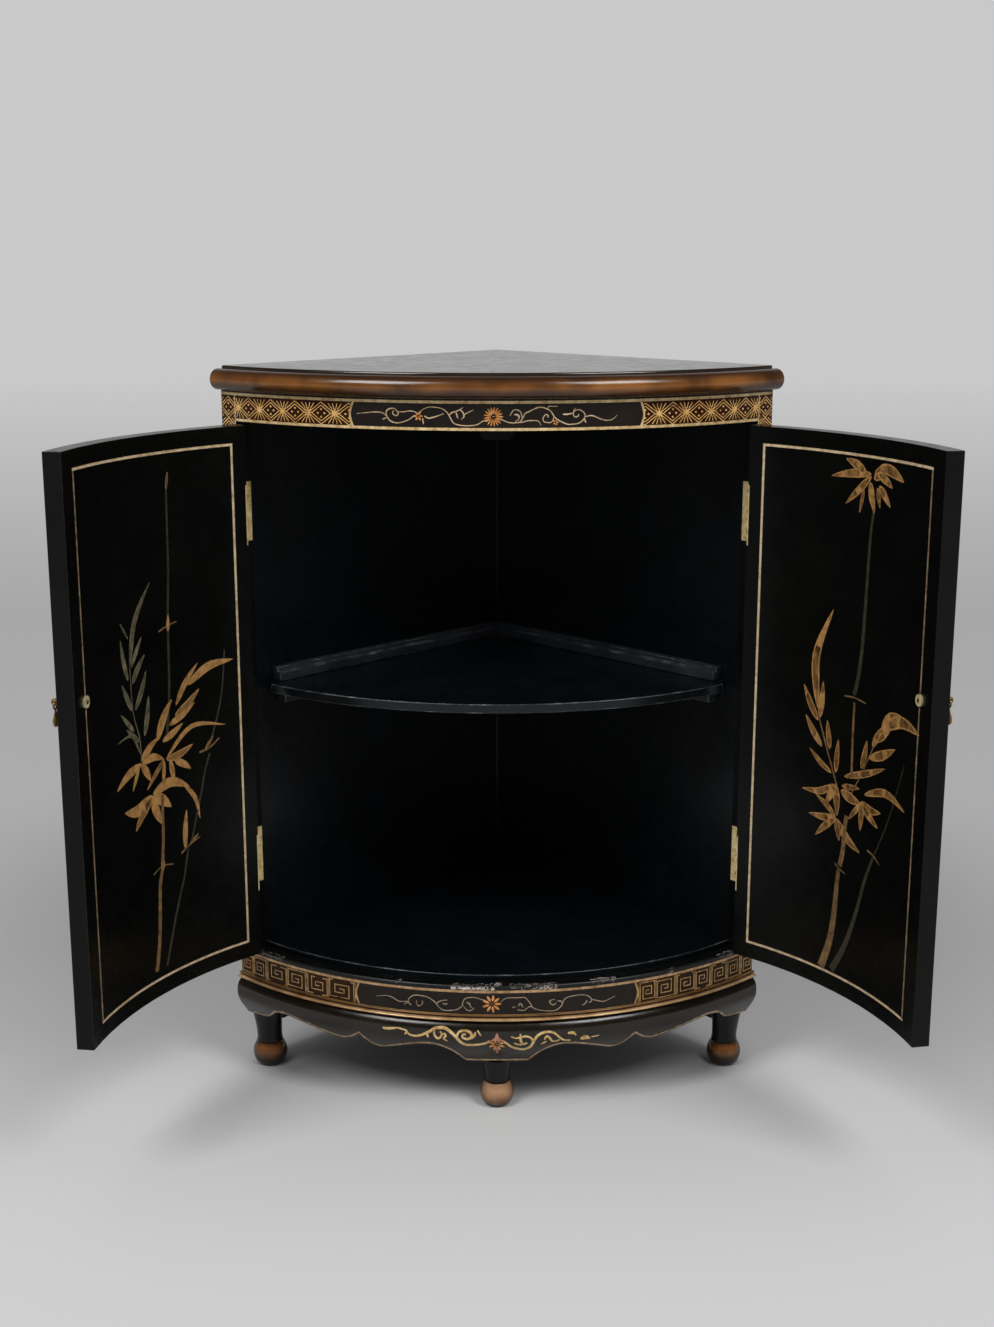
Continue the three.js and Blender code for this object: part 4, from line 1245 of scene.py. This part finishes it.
def ball_lacquer(name, shaded_side, stops):
    """Copper-gold lacquer with painted shade by height, dark at the sole and again just under the
    black leg. Painted shade darkens its sides and back, so that it is brightest in front."""
    material, tree, shader, place = new_material(name)
    height = node(tree, "ShaderNodeSeparateXYZ", {"Vector": place}).outputs["Z"]
    smear = node(
        tree, "ShaderNodeTexNoise", {"Vector": place, "Scale": 1 / 0.009, "Detail": 5}
    ).outputs["Fac"]
    shift = node(
        tree, "ShaderNodeMapRange", {"Value": smear, "To Min": -0.006, "To Max": 0.006}
    ).outputs["Result"]
    wavy = node(tree, "ShaderNodeMath", {0: height, 1: shift}, operation="ADD").outputs["Value"]
    level = node(
        tree, "ShaderNodeMapRange", {"Value": wavy, "From Min": 0.0, "From Max": 0.032}
    ).outputs["Result"]
    # Painted shade: darker where the ball turns away from the front and the lamps
    facing = node(tree, "ShaderNodeTexCoord").outputs["Normal"]
    worn = node(
        tree, "ShaderNodeVectorMath", {0: facing, 1: (0, -1, 0.25)}, operation="DOT_PRODUCT"
    ).outputs["Value"]
    rubbed = ramp(tree, worn, [(0.3, shaded_side), (0.9, "#FFFFFF")])
    finish = node(
        tree,
        "ShaderNodeMixRGB",
        {"Fac": 1, "Color1": ramp(tree, level, stops), "Color2": rubbed},
        blend_type="MULTIPLY",
    ).outputs["Color"]
    plug(
        tree, shader, {"Base Color": finish, "Roughness": 0.13, "Metallic": 0.1, "IOR": 1.5}
    )
    return material


front_copper = ball_lacquer(
    "copper_gold_lacquer",
    "#8A7A6C",
    [
        (0.04, "#0E0805"), (0.16, "#5E3C24"), (0.4, "#A07650"), (0.66, "#BE9370"),
        (0.86, "#A88060"), (0.96, "#3A281C"),
    ],
)
side_copper = ball_lacquer(
    "darker_side_copper_lacquer",
    "#3C4232",
    [
        (0.1, "#0E0B06"), (0.32, "#382C16"), (0.52, "#6E4826"), (0.7, "#A4683A"),
        (0.82, "#84522C"), (0.94, "#1C1008"),
    ],
)

# Radius and height of a foot in millimetres, from the sole up
foot_profile = [
    (11, 0), (14.6, 1.2), (18, 4.8), (20, 10.4), (20.3, 15), (19.4, 20), (17.4, 24.5), (15.6, 28),
    (14.8, 31), (14.5, 35), (14.5, 40), (14.7, 46), (14.9, 53), (15, 60),
]
profile_top = 0.06
front_girth = 0.92  # the front foot is slimmer than the others
other_girth = 0.96
let_in = 0.011  # how far a side leg goes up into its block, behind the apron
side_lean = 0.003
side_flare = 0.33
flare_height = 0.058
for side in ("front", "rear", "left", "right"):
    low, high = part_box(f"{side}_foot")
    if side in ("front", "rear"):
        centre = Vector((0, low.y + ball_radius if side == "front" else high.y - ball_radius, 0))
        outward = Vector((0, -1 if side == "front" else 1, 0))
        lean = 0
    else:
        centre_x = low.x + ball_radius if side == "left" else high.x - ball_radius
        centre = Vector((centre_x, low.y + ball_radius, 0))
        outward = (centre - corner).normalized()
        lean = side_lean
    sideways = Vector((-outward.y, outward.x, 0)) * (-1 if side == "left" else 1)
    girth = front_girth if side == "front" else other_girth
    leg_top = apron_low.z if side == "front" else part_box("left_base_rail")[0].z
    if side in ("left", "right"):
        leg_top += let_in
    stretch = (leg_top - ball_height) / (profile_top - ball_height)
    profile = []
    for radius, level in foot_profile:
        level *= 0.001
        if level > ball_height:
            level = ball_height + (level - ball_height) * stretch
        profile.append((radius * 0.001 * girth, level))
    profile = [(0, 0)] + smooth(profile, 5) + [(0, leg_top)]
    mesh = bpy.data.meshes.new(f"{side}_ball_foot")
    mesh.from_pydata(
        [centre + Vector((radius, 0, level)) for radius, level in profile],
        [(i, i + 1) for i in range(len(profile) - 1)],
        [],
    )
    foot = add_piece(f"{side}_ball_foot", mesh)
    bpy.ops.object.mode_set(mode="EDIT")
    bpy.ops.mesh.select_all(action="SELECT")
    bpy.ops.mesh.spin(steps=40, angle=2 * math.pi, center=centre, axis=(0, 0, 1))
    bpy.ops.object.mode_set(mode="OBJECT")
    close_mesh()
    foot.data.materials.append(front_copper if side == "front" else side_copper)
    foot.data.materials.append(black_lacquer)
    # It widens along the front only, and leans towards the wall
    for vertex in foot.data.vertices:
        risen = (vertex.co.z - ball_height) / (flare_height - ball_height)
        flare = min(1, max(0, risen)) ** 1.5
        vertex.co += sideways * flare * (side_flare * (vertex.co - centre).dot(sideways) + lean)
    for face in foot.data.polygons:
        face.material_index = 1 if face.center.z > ball_height else 0
    bpy.ops.object.shade_smooth_by_angle(angle=math.radians(35))
    fit(foot, carcass, "copper_lacquer", f"{side}_foot")


# Inside. A floor board, a shelf trapped between a stepped batten above and a cleat below on each
# wall, and a block behind the frieze that stops the doors. All are blue-black lacquered wood.

# Dust and a painted sheen of light grey the battens, the stop block has no shine, and the edges are
# rubbed pale, with a painted highlight along them
dust_and_sheen_lacquer = lacquer("dust_and_sheen_batten_lacquer", "#1B1E22", "#34383C", gloss=0.3, shine=0.4)
dull_black = lacquer("dull_black_block", "#040505", "#090A0B", gloss=0.45, shine=0.12)
rubbed_and_highlit_edge = patchy(
    "rubbed_highlit_board_edge",
    0.02,
    [(0.36, "#121416"), (0.5, "#2E3134"), (0.62, "#585C60"), (0.74, "#92969A")],
    {"Roughness": 0.35},
)
for cad_node, finish, edge in (
    ("floor_board", inner_lacquer, rubbed_and_highlit_edge),
    ("shelf", inner_lacquer, rubbed_and_highlit_edge),
    ("left_shelf_batten", dust_and_sheen_lacquer, rubbed_and_highlit_edge),
    ("right_shelf_batten", dust_and_sheen_lacquer, rubbed_and_highlit_edge),
    ("left_shelf_cleat", dust_and_sheen_lacquer, rubbed_and_highlit_edge),
    ("right_shelf_cleat", dust_and_sheen_lacquer, rubbed_and_highlit_edge),
    ("door_stop_block", dull_black, dull_black),
):
    board = copy_of(cad_node, cad_node + "_lacquered")
    board.data.materials.append(finish)
    round_edges(board, 0.001, worn=edge)
    fit(board, carcass, "black_lacquer", cad_node)


# Doors. Each is a bowed board 18 mm thick, lacquered black, with a gold line round both faces and
# bamboo painted inside in raised gold lacquer. It hangs on two hinges, and stands open.

# The inner faces are a soft black with little gloss, and the edges are rubbed pale by hands
door_lacquer = lacquer("door_black_lacquer", "#050605", "#0B0C0A", gloss=0.2, shine=0.16)
worn_edge = patchy(
    "rubbed_lacquer_edge",
    0.012,
    [(0.4, "#0A0A0A"), (0.6, "#2B2622"), (0.7, "#6E6459"), (0.78, "#B4AA9E")],
    {"Roughness": 0.4, "IOR": 1.5},
)
# The bamboo's gold has gone olive, with a paler rim round each leaf, and part has faded to grey
olive_gold = gold_paint(
    "olive_gold_leaf", "#987040", "#805C32", "#624626", metal=0.2, roughness=0.42
)
leaf_rim = gold_paint("pale_leaf_rim", "#C8965A", "#A67A46", "#6A4826", metal=0.2, roughness=0.42)
grey_gold = gold_paint(
    "faded_grey_leaf", "#686148", "#4C4733", "#2A271B", metal=0.1, roughness=0.5
)
grey_rim = gold_paint("faded_grey_rim", "#7E775C", "#5E5842", "#343022", metal=0.1, roughness=0.5)
door_gold = gold_paint("door_gold_line", "#E6CFAC", "#C8AE88", "#98805E", metal=0.15)
worn_gold = gold_paint("worn_door_gold_line", "#A49070", "#7A6A50", "#4A4030", metal=0.1)
stem_brown = gold_paint(
    "brown_gold_stem", "#8C6C44", "#6A5030", "#3E2E1A", metal=0.15, roughness=0.45
)
stem_grey = gold_paint("dark_olive_stem", "#3E3A28", "#2C2A1C", "#191810", metal=0.1, roughness=0.5)

door_edge_gap = 0.0008  # from a shut door's free edge to the middle of the front
door_thickness = 0.018
door_inner = front_radius - door_thickness
rim_swell = 0.00084  # metres for each millimetre of a leaf's width
leaf_swell = 0.00062


def leaves(rims, bodies, blades):
    """Bamboo leaves in millimetres: where each starts and ends, its width, and how far it bows."""
    for x0, y0, x1, y1, wide, bow in blades:
        base, tip = Vector((x0, y0)) * 0.001, Vector((x1, y1)) * 0.001
        across = Vector((base.y - tip.y, tip.x - base.x)) * bow
        path = smooth([base, base.lerp(tip, 0.5) + across, tip], 6)
        rims.stroke(path, 0.0006, 0.0002, belly=wide * rim_swell)
        bodies.stroke(path[1:-1], 0.0002, 0.0002, belly=wide * leaf_swell)


def stem(painting, points, low_width, high_width):
    """A piece of a bamboo stem in millimetres, from its lower end up, with its two widths."""
    path = smooth([(x * 0.001, y * 0.001) for x, y in points])
    painting.stroke(path, low_width * 0.001, high_width * 0.001)


def bamboo_left():
    """The left door's bamboo, in millimetres from the free edge and above the floor."""
    rims, grey_rims, golden, grey, brown, dark = (Painting() for _ in range(6))
    stem(brown, [(133, 179), (139, 205), (142, 231), (145, 270), (150, 289)], 6, 4.5)
    stem(brown, [(150, 293), (153, 320), (154, 352), (155, 368)], 4.8, 3.6)
    stem(dark, [(166, 430), (172, 476), (174, 541)], 3.6, 3)
    stem(dark, [(174, 548), (178, 600), (179, 641), (180, 684)], 3, 2.4)
    leaves(
        rims, brown, [(180, 684, 183, 701, 3.5, 0), (150, 286, 152, 300, 6, 0), (174, 538, 175, 556,
        5, 0)]
    )
    stem(brown, [(135, 286), (150, 291), (167, 288)], 1.6, 1.6)
    stem(brown, [(160, 540), (174, 544), (187, 546)], 1.6, 1.6)
    stem(dark, [(150, 179), (160, 208), (168, 231), (176, 252), (183, 270), (190, 298)], 3.4, 2.4)
    stem(dark, [(196, 306), (212, 355), (218, 376), (226, 396)], 2.6, 2.2)
    stem(dark, [(228, 408), (238, 434), (246, 462), (251, 505)], 2.4, 1.6)
    stem(brown, [(180, 296), (192, 302), (208, 307)], 2.4, 1.4)
    stem(brown, [(212, 400), (226, 402), (240, 410)], 2.6, 1.6)
    leaves(
        rims, brown, [(186, 300, 190, 342, 8, 0.02), (194, 303, 206, 311, 3, 0), (220, 401, 232,
        414, 3.4, 0)]
    )
    stem(grey, [(124, 410), (123, 436), (114, 466), (112, 508), (113, 532)], 1.6, 1.4)
    leaves(grey_rims, grey, [
        (112, 514, 150, 593, 8, 0.1), (108, 500, 98, 543, 7, 0.03), (111, 542, 99, 560, 2.5, 0),
        (114, 512, 133, 540, 6, 0), (115, 495, 137, 521, 8, 0.04), (118, 467, 138, 504, 8, -0.04),
        (112, 468, 97, 498, 7, 0), (131, 437, 140, 477, 8, -0.03), (114, 446, 93, 468, 6, 0), (122,
        433, 101, 451, 6, 0), (123, 420, 84, 440, 3, -0.3),
    ])
    leaves(rims, golden, [
        (151, 427, 175, 466, 12, 0.05), (181, 458, 214, 497, 8, 0.05), (199, 476, 262, 493, 11,
        0.1), (179, 447, 215, 469, 9, -0.05), (170, 439, 208, 456, 9, -0.04), (163, 404, 249, 423,
        6, 0.2), (124, 412, 152, 430, 10, 0.04), (159, 424, 190, 437, 9, -0.03), (164, 403, 203,
        411, 10, -0.06), (124, 409, 79, 392, 11, -0.06), (120, 408, 107, 384, 6, 0), (124, 408, 138,
        387, 10, 0.03), (125, 409, 160, 405, 10, 0.12), (160, 405, 131, 379, 6, 0), (160, 403, 157,
        377, 6, 0), (169, 401, 173, 375, 8, 0.03), (176, 399, 199, 385, 9, 0.05), (139, 371, 91,
        366, 16, 0.14), (139, 371, 109, 341, 13, -0.03), (139, 371, 153, 336, 13, -0.05), (140, 370,
        168, 351, 14, 0.05), (140, 372, 196, 366, 13, 0.16), (188, 370, 209, 327, 6, 0.12),
    ])
    return (
        (rims, leaf_rim, "leaf_rims"),
        (grey_rims, grey_rim, "faded_rims"),
        (golden, olive_gold, "leaves"),
        (grey, grey_gold, "faded_leaves"),
        (brown, stem_brown, "stems"),
        (dark, stem_grey, "dark_stems"),
    )


def bamboo_right():
    """The right door's bamboo, in millimetres from the free edge and above the floor."""
    rims, golden, grey, brown, dark = (Painting() for _ in range(5))
    stem(brown, [(167, 171), (158, 196), (153, 218), (150, 245), (149, 266), (147, 286)], 10, 5)
    stem(brown, [(146, 291), (142, 308), (141, 330), (139, 348)], 6.5, 5.5)
    stem(brown, [(134, 394), (135, 430), (135, 470)], 3, 3)
    stem(dark, [(136, 478), (131, 498), (127, 533), (125, 590), (123, 643), (120, 668)], 5.5, 3.2)
    stem(brown, [(150, 474), (135, 475), (118, 473)], 1.6, 1.6)
    stem(brown, [(153, 292), (147, 288), (137, 285)], 1.6, 1.6)
    stem(dark, [(151, 173), (140, 192), (129, 215), (116, 252), (106, 287), (94, 316)], 8, 3)
    stem(dark, [(92, 321), (87, 330), (70, 366), (48, 426)], 1.8, 1)
    stem(brown, [(104, 321), (93, 318), (83, 312)], 2, 1.4)
    stem(brown, [(185, 444), (170, 408), (155, 376)], 1.8, 2)
    stem(brown, [(134, 372), (116, 404), (100, 436)], 1.6, 1.2)
    leaves(rims, golden, [
        (126, 704, 182, 697, 10, 0.03), (126, 702, 161, 671, 9, 0), (136, 688, 141, 664, 5, 0),
        (127, 696, 119, 666, 10, 0.02), (116, 692, 111, 672, 6, 0), (113, 694, 95, 675, 9, 0), (116,
        706, 93, 694, 10, -0.03), (114, 713, 75, 702, 13, -0.06), (134, 704, 163, 716, 11, 0.05),
        (120, 700, 112, 714, 9, 0), (122, 700, 104, 708, 9, 0), (187, 453, 171, 561, 12, -0.12),
        (186, 440, 207, 475, 9, -0.03), (184, 443, 181, 483, 9, 0.02), (179, 413, 203, 443, 9,
        -0.03), (168, 413, 173, 443, 8, 0), (164, 388, 196, 408, 7, -0.05), (158, 390, 156, 426, 8,
        0), (92, 452, 22, 464, 15, -0.14), (90, 454, 58, 474, 13, -0.12), (104, 431, 91, 454, 9, 0),
        (96, 438, 72, 462, 9, 0), (108, 418, 66, 438, 12, 0.03), (120, 404, 113, 435, 9, 0.03),
        (145, 389, 81, 414, 9, 0.02), (148, 378, 121, 382, 7, 0), (113, 378, 43, 380, 10, -0.14),
        (157, 377, 204, 362, 9, -0.1), (157, 376, 171, 352, 10, 0), (156, 376, 153, 344, 11, 0),
        (155, 342, 185, 360, 7, 0.04), (155, 342, 193, 337, 9, -0.05), (155, 341, 183, 315, 9,
        0.03), (154, 341, 148, 318, 9, 0), (155, 341, 116, 314, 12, 0.08), (149, 373, 118, 366, 13,
        0.04), (118, 369, 85, 366, 10, 0.1), (117, 368, 89, 349, 10, 0.04), (116, 368, 117, 338, 9,
        0), (117, 368, 136, 345, 7, 0),
    ])
    return (
        (rims, leaf_rim, "leaf_rims"),
        (golden, olive_gold, "leaves"),
        (brown, stem_brown, "stems"),
        (dark, stem_grey, "dark_stems"),
    )


def door_hinge(side, sign):
    """A point on the door's hinge pin, and how far the door stands open about it."""
    joint = next(joint for joint in frame["joints"] if joint["name"] == f"{side}_door_hinge")
    return Vector(joint["pos_m"]), math.radians(joint["range_deg"][1]) * sign


hole_step = 0.001  # where the face lies deeper than this, it is the bolt's hole


def door_face(sign, swing, door_skin, face_radius, offset):
    """The inner or the outer face of a door, to lay painting on. The face is looked for from a
    little way off it, inwards or outwards."""

    def surface(along, up, lift):
        """A point on the door, along it from the free edge. Over the bolt's hole it keeps level."""
        angle = sign * (along + door_edge_gap) / door_inner
        start = swing @ at(face_radius + offset, angle, up)
        level = swing @ at(face_radius, angle, up)
        place, normal, _, _ = door_skin.ray_cast(start, level - start)
        if place is None or (place - level).length > hole_step:
            place, normal = level, (start - level).normalized()
        return place + normal * lift

    return surface


# The gold line runs round each face at these distances from the door's edges
level_margin = 0.019
free_margin = 0.025
hinge_margin = 0.0185
gold_line = 0.0026
worn_line_width = 0.0022
off_face = 0.01
post_and_gap = 0.0252  # along the front, from its end to the door's hinge edge
hinge_edge = half_corner - post_and_gap / front_radius

for side, sign, bamboo in (("left", -1, bamboo_left), ("right", 1, bamboo_right)):
    pivot, opened = door_hinge(side, sign)
    pivot.z = 0
    swing = (
        Matrix.Translation(pivot) @ Matrix.Rotation(opened, 4, "Z") @ Matrix.Translation(-pivot)
    )
    door_body = f"{side}_door"
    door_low, door_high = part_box(door_body)

    door = copy_of(door_body, f"{side}_bowed_door")
    door.data.materials.append(door_lacquer)
    round_edges(door, 0.001, worn=worn_edge)
    fit(door, door_body, "black_lacquer", door_body)
    door_skin = skin(door)
    on_inside = door_face(sign, swing, door_skin, door_inner, -off_face)
    on_outside = door_face(sign, swing, door_skin, front_radius, off_face)

    low, high = door_low.z + level_margin, door_high.z - level_margin
    near, far = free_margin, hinge_edge * door_inner - hinge_margin
    half_line = gold_line / 2
    for name, surface in (("inner", on_inside), ("outer", on_outside)):
        line = Painting()
        line.stroke(long_line((near - half_line, low), (far + half_line, low)), gold_line)
        line.stroke(long_line((far, low), (far, high)), gold_line)
        line.stroke(long_line((far + half_line, high), (near - half_line, high)), gold_line)
        line.lay(f"{side}_door_{name}_gold_line", surface, door_gold, door_body)
        # Hands have rubbed the line beside the pull
        worn_line = Painting()
        worn_line.stroke(long_line((near, low), (near, high)), worn_line_width)
        worn_line.lay(f"{side}_door_{name}_worn_line", surface, worn_gold, door_body)
    for painting, paint, name in bamboo():
        painting.lay(f"{side}_door_bamboo_{name}", on_inside, paint, door_body)


# Hinges. Butt hinges of sheet brass, let into door and post, each leaf held by three slotted
# countersunk screws. The brass is old, tarnished in patches, and no mirror: its pale yellow, near
# white in places, is partly a painted sheen.
brass = patchy(
    "dull_brass",
    0.009,
    [(0.35, "#B89A5C"), (0.5, "#E8CE90"), (0.7, "#FFF0C8")],
    {"Metallic": 0.2, "Roughness": 0.4},
)
screw_brass = gold_paint("dark_screw_brass", "#8C7440", "#5E4C28", "#332814", metal=0.6)

screw_radius = 0.0026
screw_height = 0.0006
slot_width = 0.0008
slot_length = 2.2 * screw_radius  # a little more than the head, to cut right across it
slot_depth = 0.0002
screw_reach = 0.0125  # from the pin to the screws, across the leaf
screw_spacing = 0.022
leaf_face = 0.0006  # from the pin's plane to the leaf's face
screw_lift = 0.0001
first_turn = 20  # degrees; no two slots in a leaf point the same way
next_turn = 35

select()
bpy.ops.mesh.primitive_cylinder_add(vertices=16, radius=screw_radius, depth=screw_height)
screw = settle("slotted_screw")
select()
bpy.ops.mesh.primitive_cube_add(size=1, location=(0, 0, screw_height / 2))
bpy.context.object.scale = (slot_length, slot_width, 2 * slot_depth)
slot = settle("screw_slot")
cutter = screw.modifiers.new("slot", "BOOLEAN")
cutter.object = slot
cutter.operation = "DIFFERENCE"
select(screw)
bpy.ops.object.modifier_apply(modifier="slot")
bpy.data.objects.remove(slot)

for side, sign in (("left", -1), ("right", 1)):
    pivot, opened = door_hinge(side, sign)
    for level in ("upper", "lower"):
        leaf_low, leaf_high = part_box(f"{side}_{level}_hinge_post_leaf")
        centre = Vector((pivot.x, pivot.y, (leaf_low.z + leaf_high.z) / 2))
        out = centre - corner
        out.z = 0
        out.normalize()
        across = Vector((-out.y, out.x, 0)) * -sign  # towards the door when it is shut
        for part, body, turn, towards in (
            ("post", carcass, 0, 1),
            ("door", f"{side}_door", opened, -1),
        ):
            facing = (across * towards).to_track_quat("Z", "Y").to_matrix().to_4x4()
            on_leaf = -out * screw_reach - across * towards * (leaf_face + screw_lift)
            heads = []
            for i in (-1, 0, 1):
                head = add_piece("head", screw.data.copy())
                spot = on_leaf + Vector((0, 0, i * screw_spacing))
                head.data.transform(
                    Matrix.Translation(centre)
                    @ Matrix.Rotation(turn, 4, "Z")
                    @ Matrix.Translation(spot)
                    @ facing
                    @ Matrix.Rotation(math.radians(first_turn + next_turn * i), 4, "Z")
                )
                heads.append(head)
            select(*heads)
            bpy.ops.object.join()
            heads[0].name = f"{side}_{level}_hinge_{part}_screws"
            heads[0].data.materials.append(screw_brass)
            fit(heads[0], body, "brass")
            refinish(f"{side}_{level}_hinge_{part}_leaf", brass)
        refinish(f"{side}_{level}_hinge_pin", brass)
bpy.data.objects.remove(screw)


# Pulls. A knobbed eye bolt goes through a domed rosette and the door, with a round nut inside, and
# a flattened drop hangs in its eye. Cast brass, brown in the hollows; hands keep the nut bright.
cast_brass = gold_paint("cast_brass", "#B08C4E", "#83642F", "#4A3618", metal=0.7, roughness=0.35)
bright_brass = gold_paint(
    "rubbed_bright_brass", "#F0E6C4", "#D8C896", "#9C8654", metal=0.3, roughness=0.3
)
for side in ("left", "right"):
    for part, body, finish in (
        ("rosette", f"{side}_door", cast_brass),
        ("eye_bolt", f"{side}_door", cast_brass),
        ("nut", f"{side}_door", bright_brass),
        ("drop", f"{side}_drop", cast_brass),
    ):
        piece = copy_of(f"{side}_pull_{part}", f"{side}_brass_{part}")
        piece.data.materials.append(finish)
        bpy.ops.object.shade_smooth_by_angle(angle=math.radians(50))
        fit(piece, body, "brass", f"{side}_pull_{part}")

bpy.context.view_layer.update()
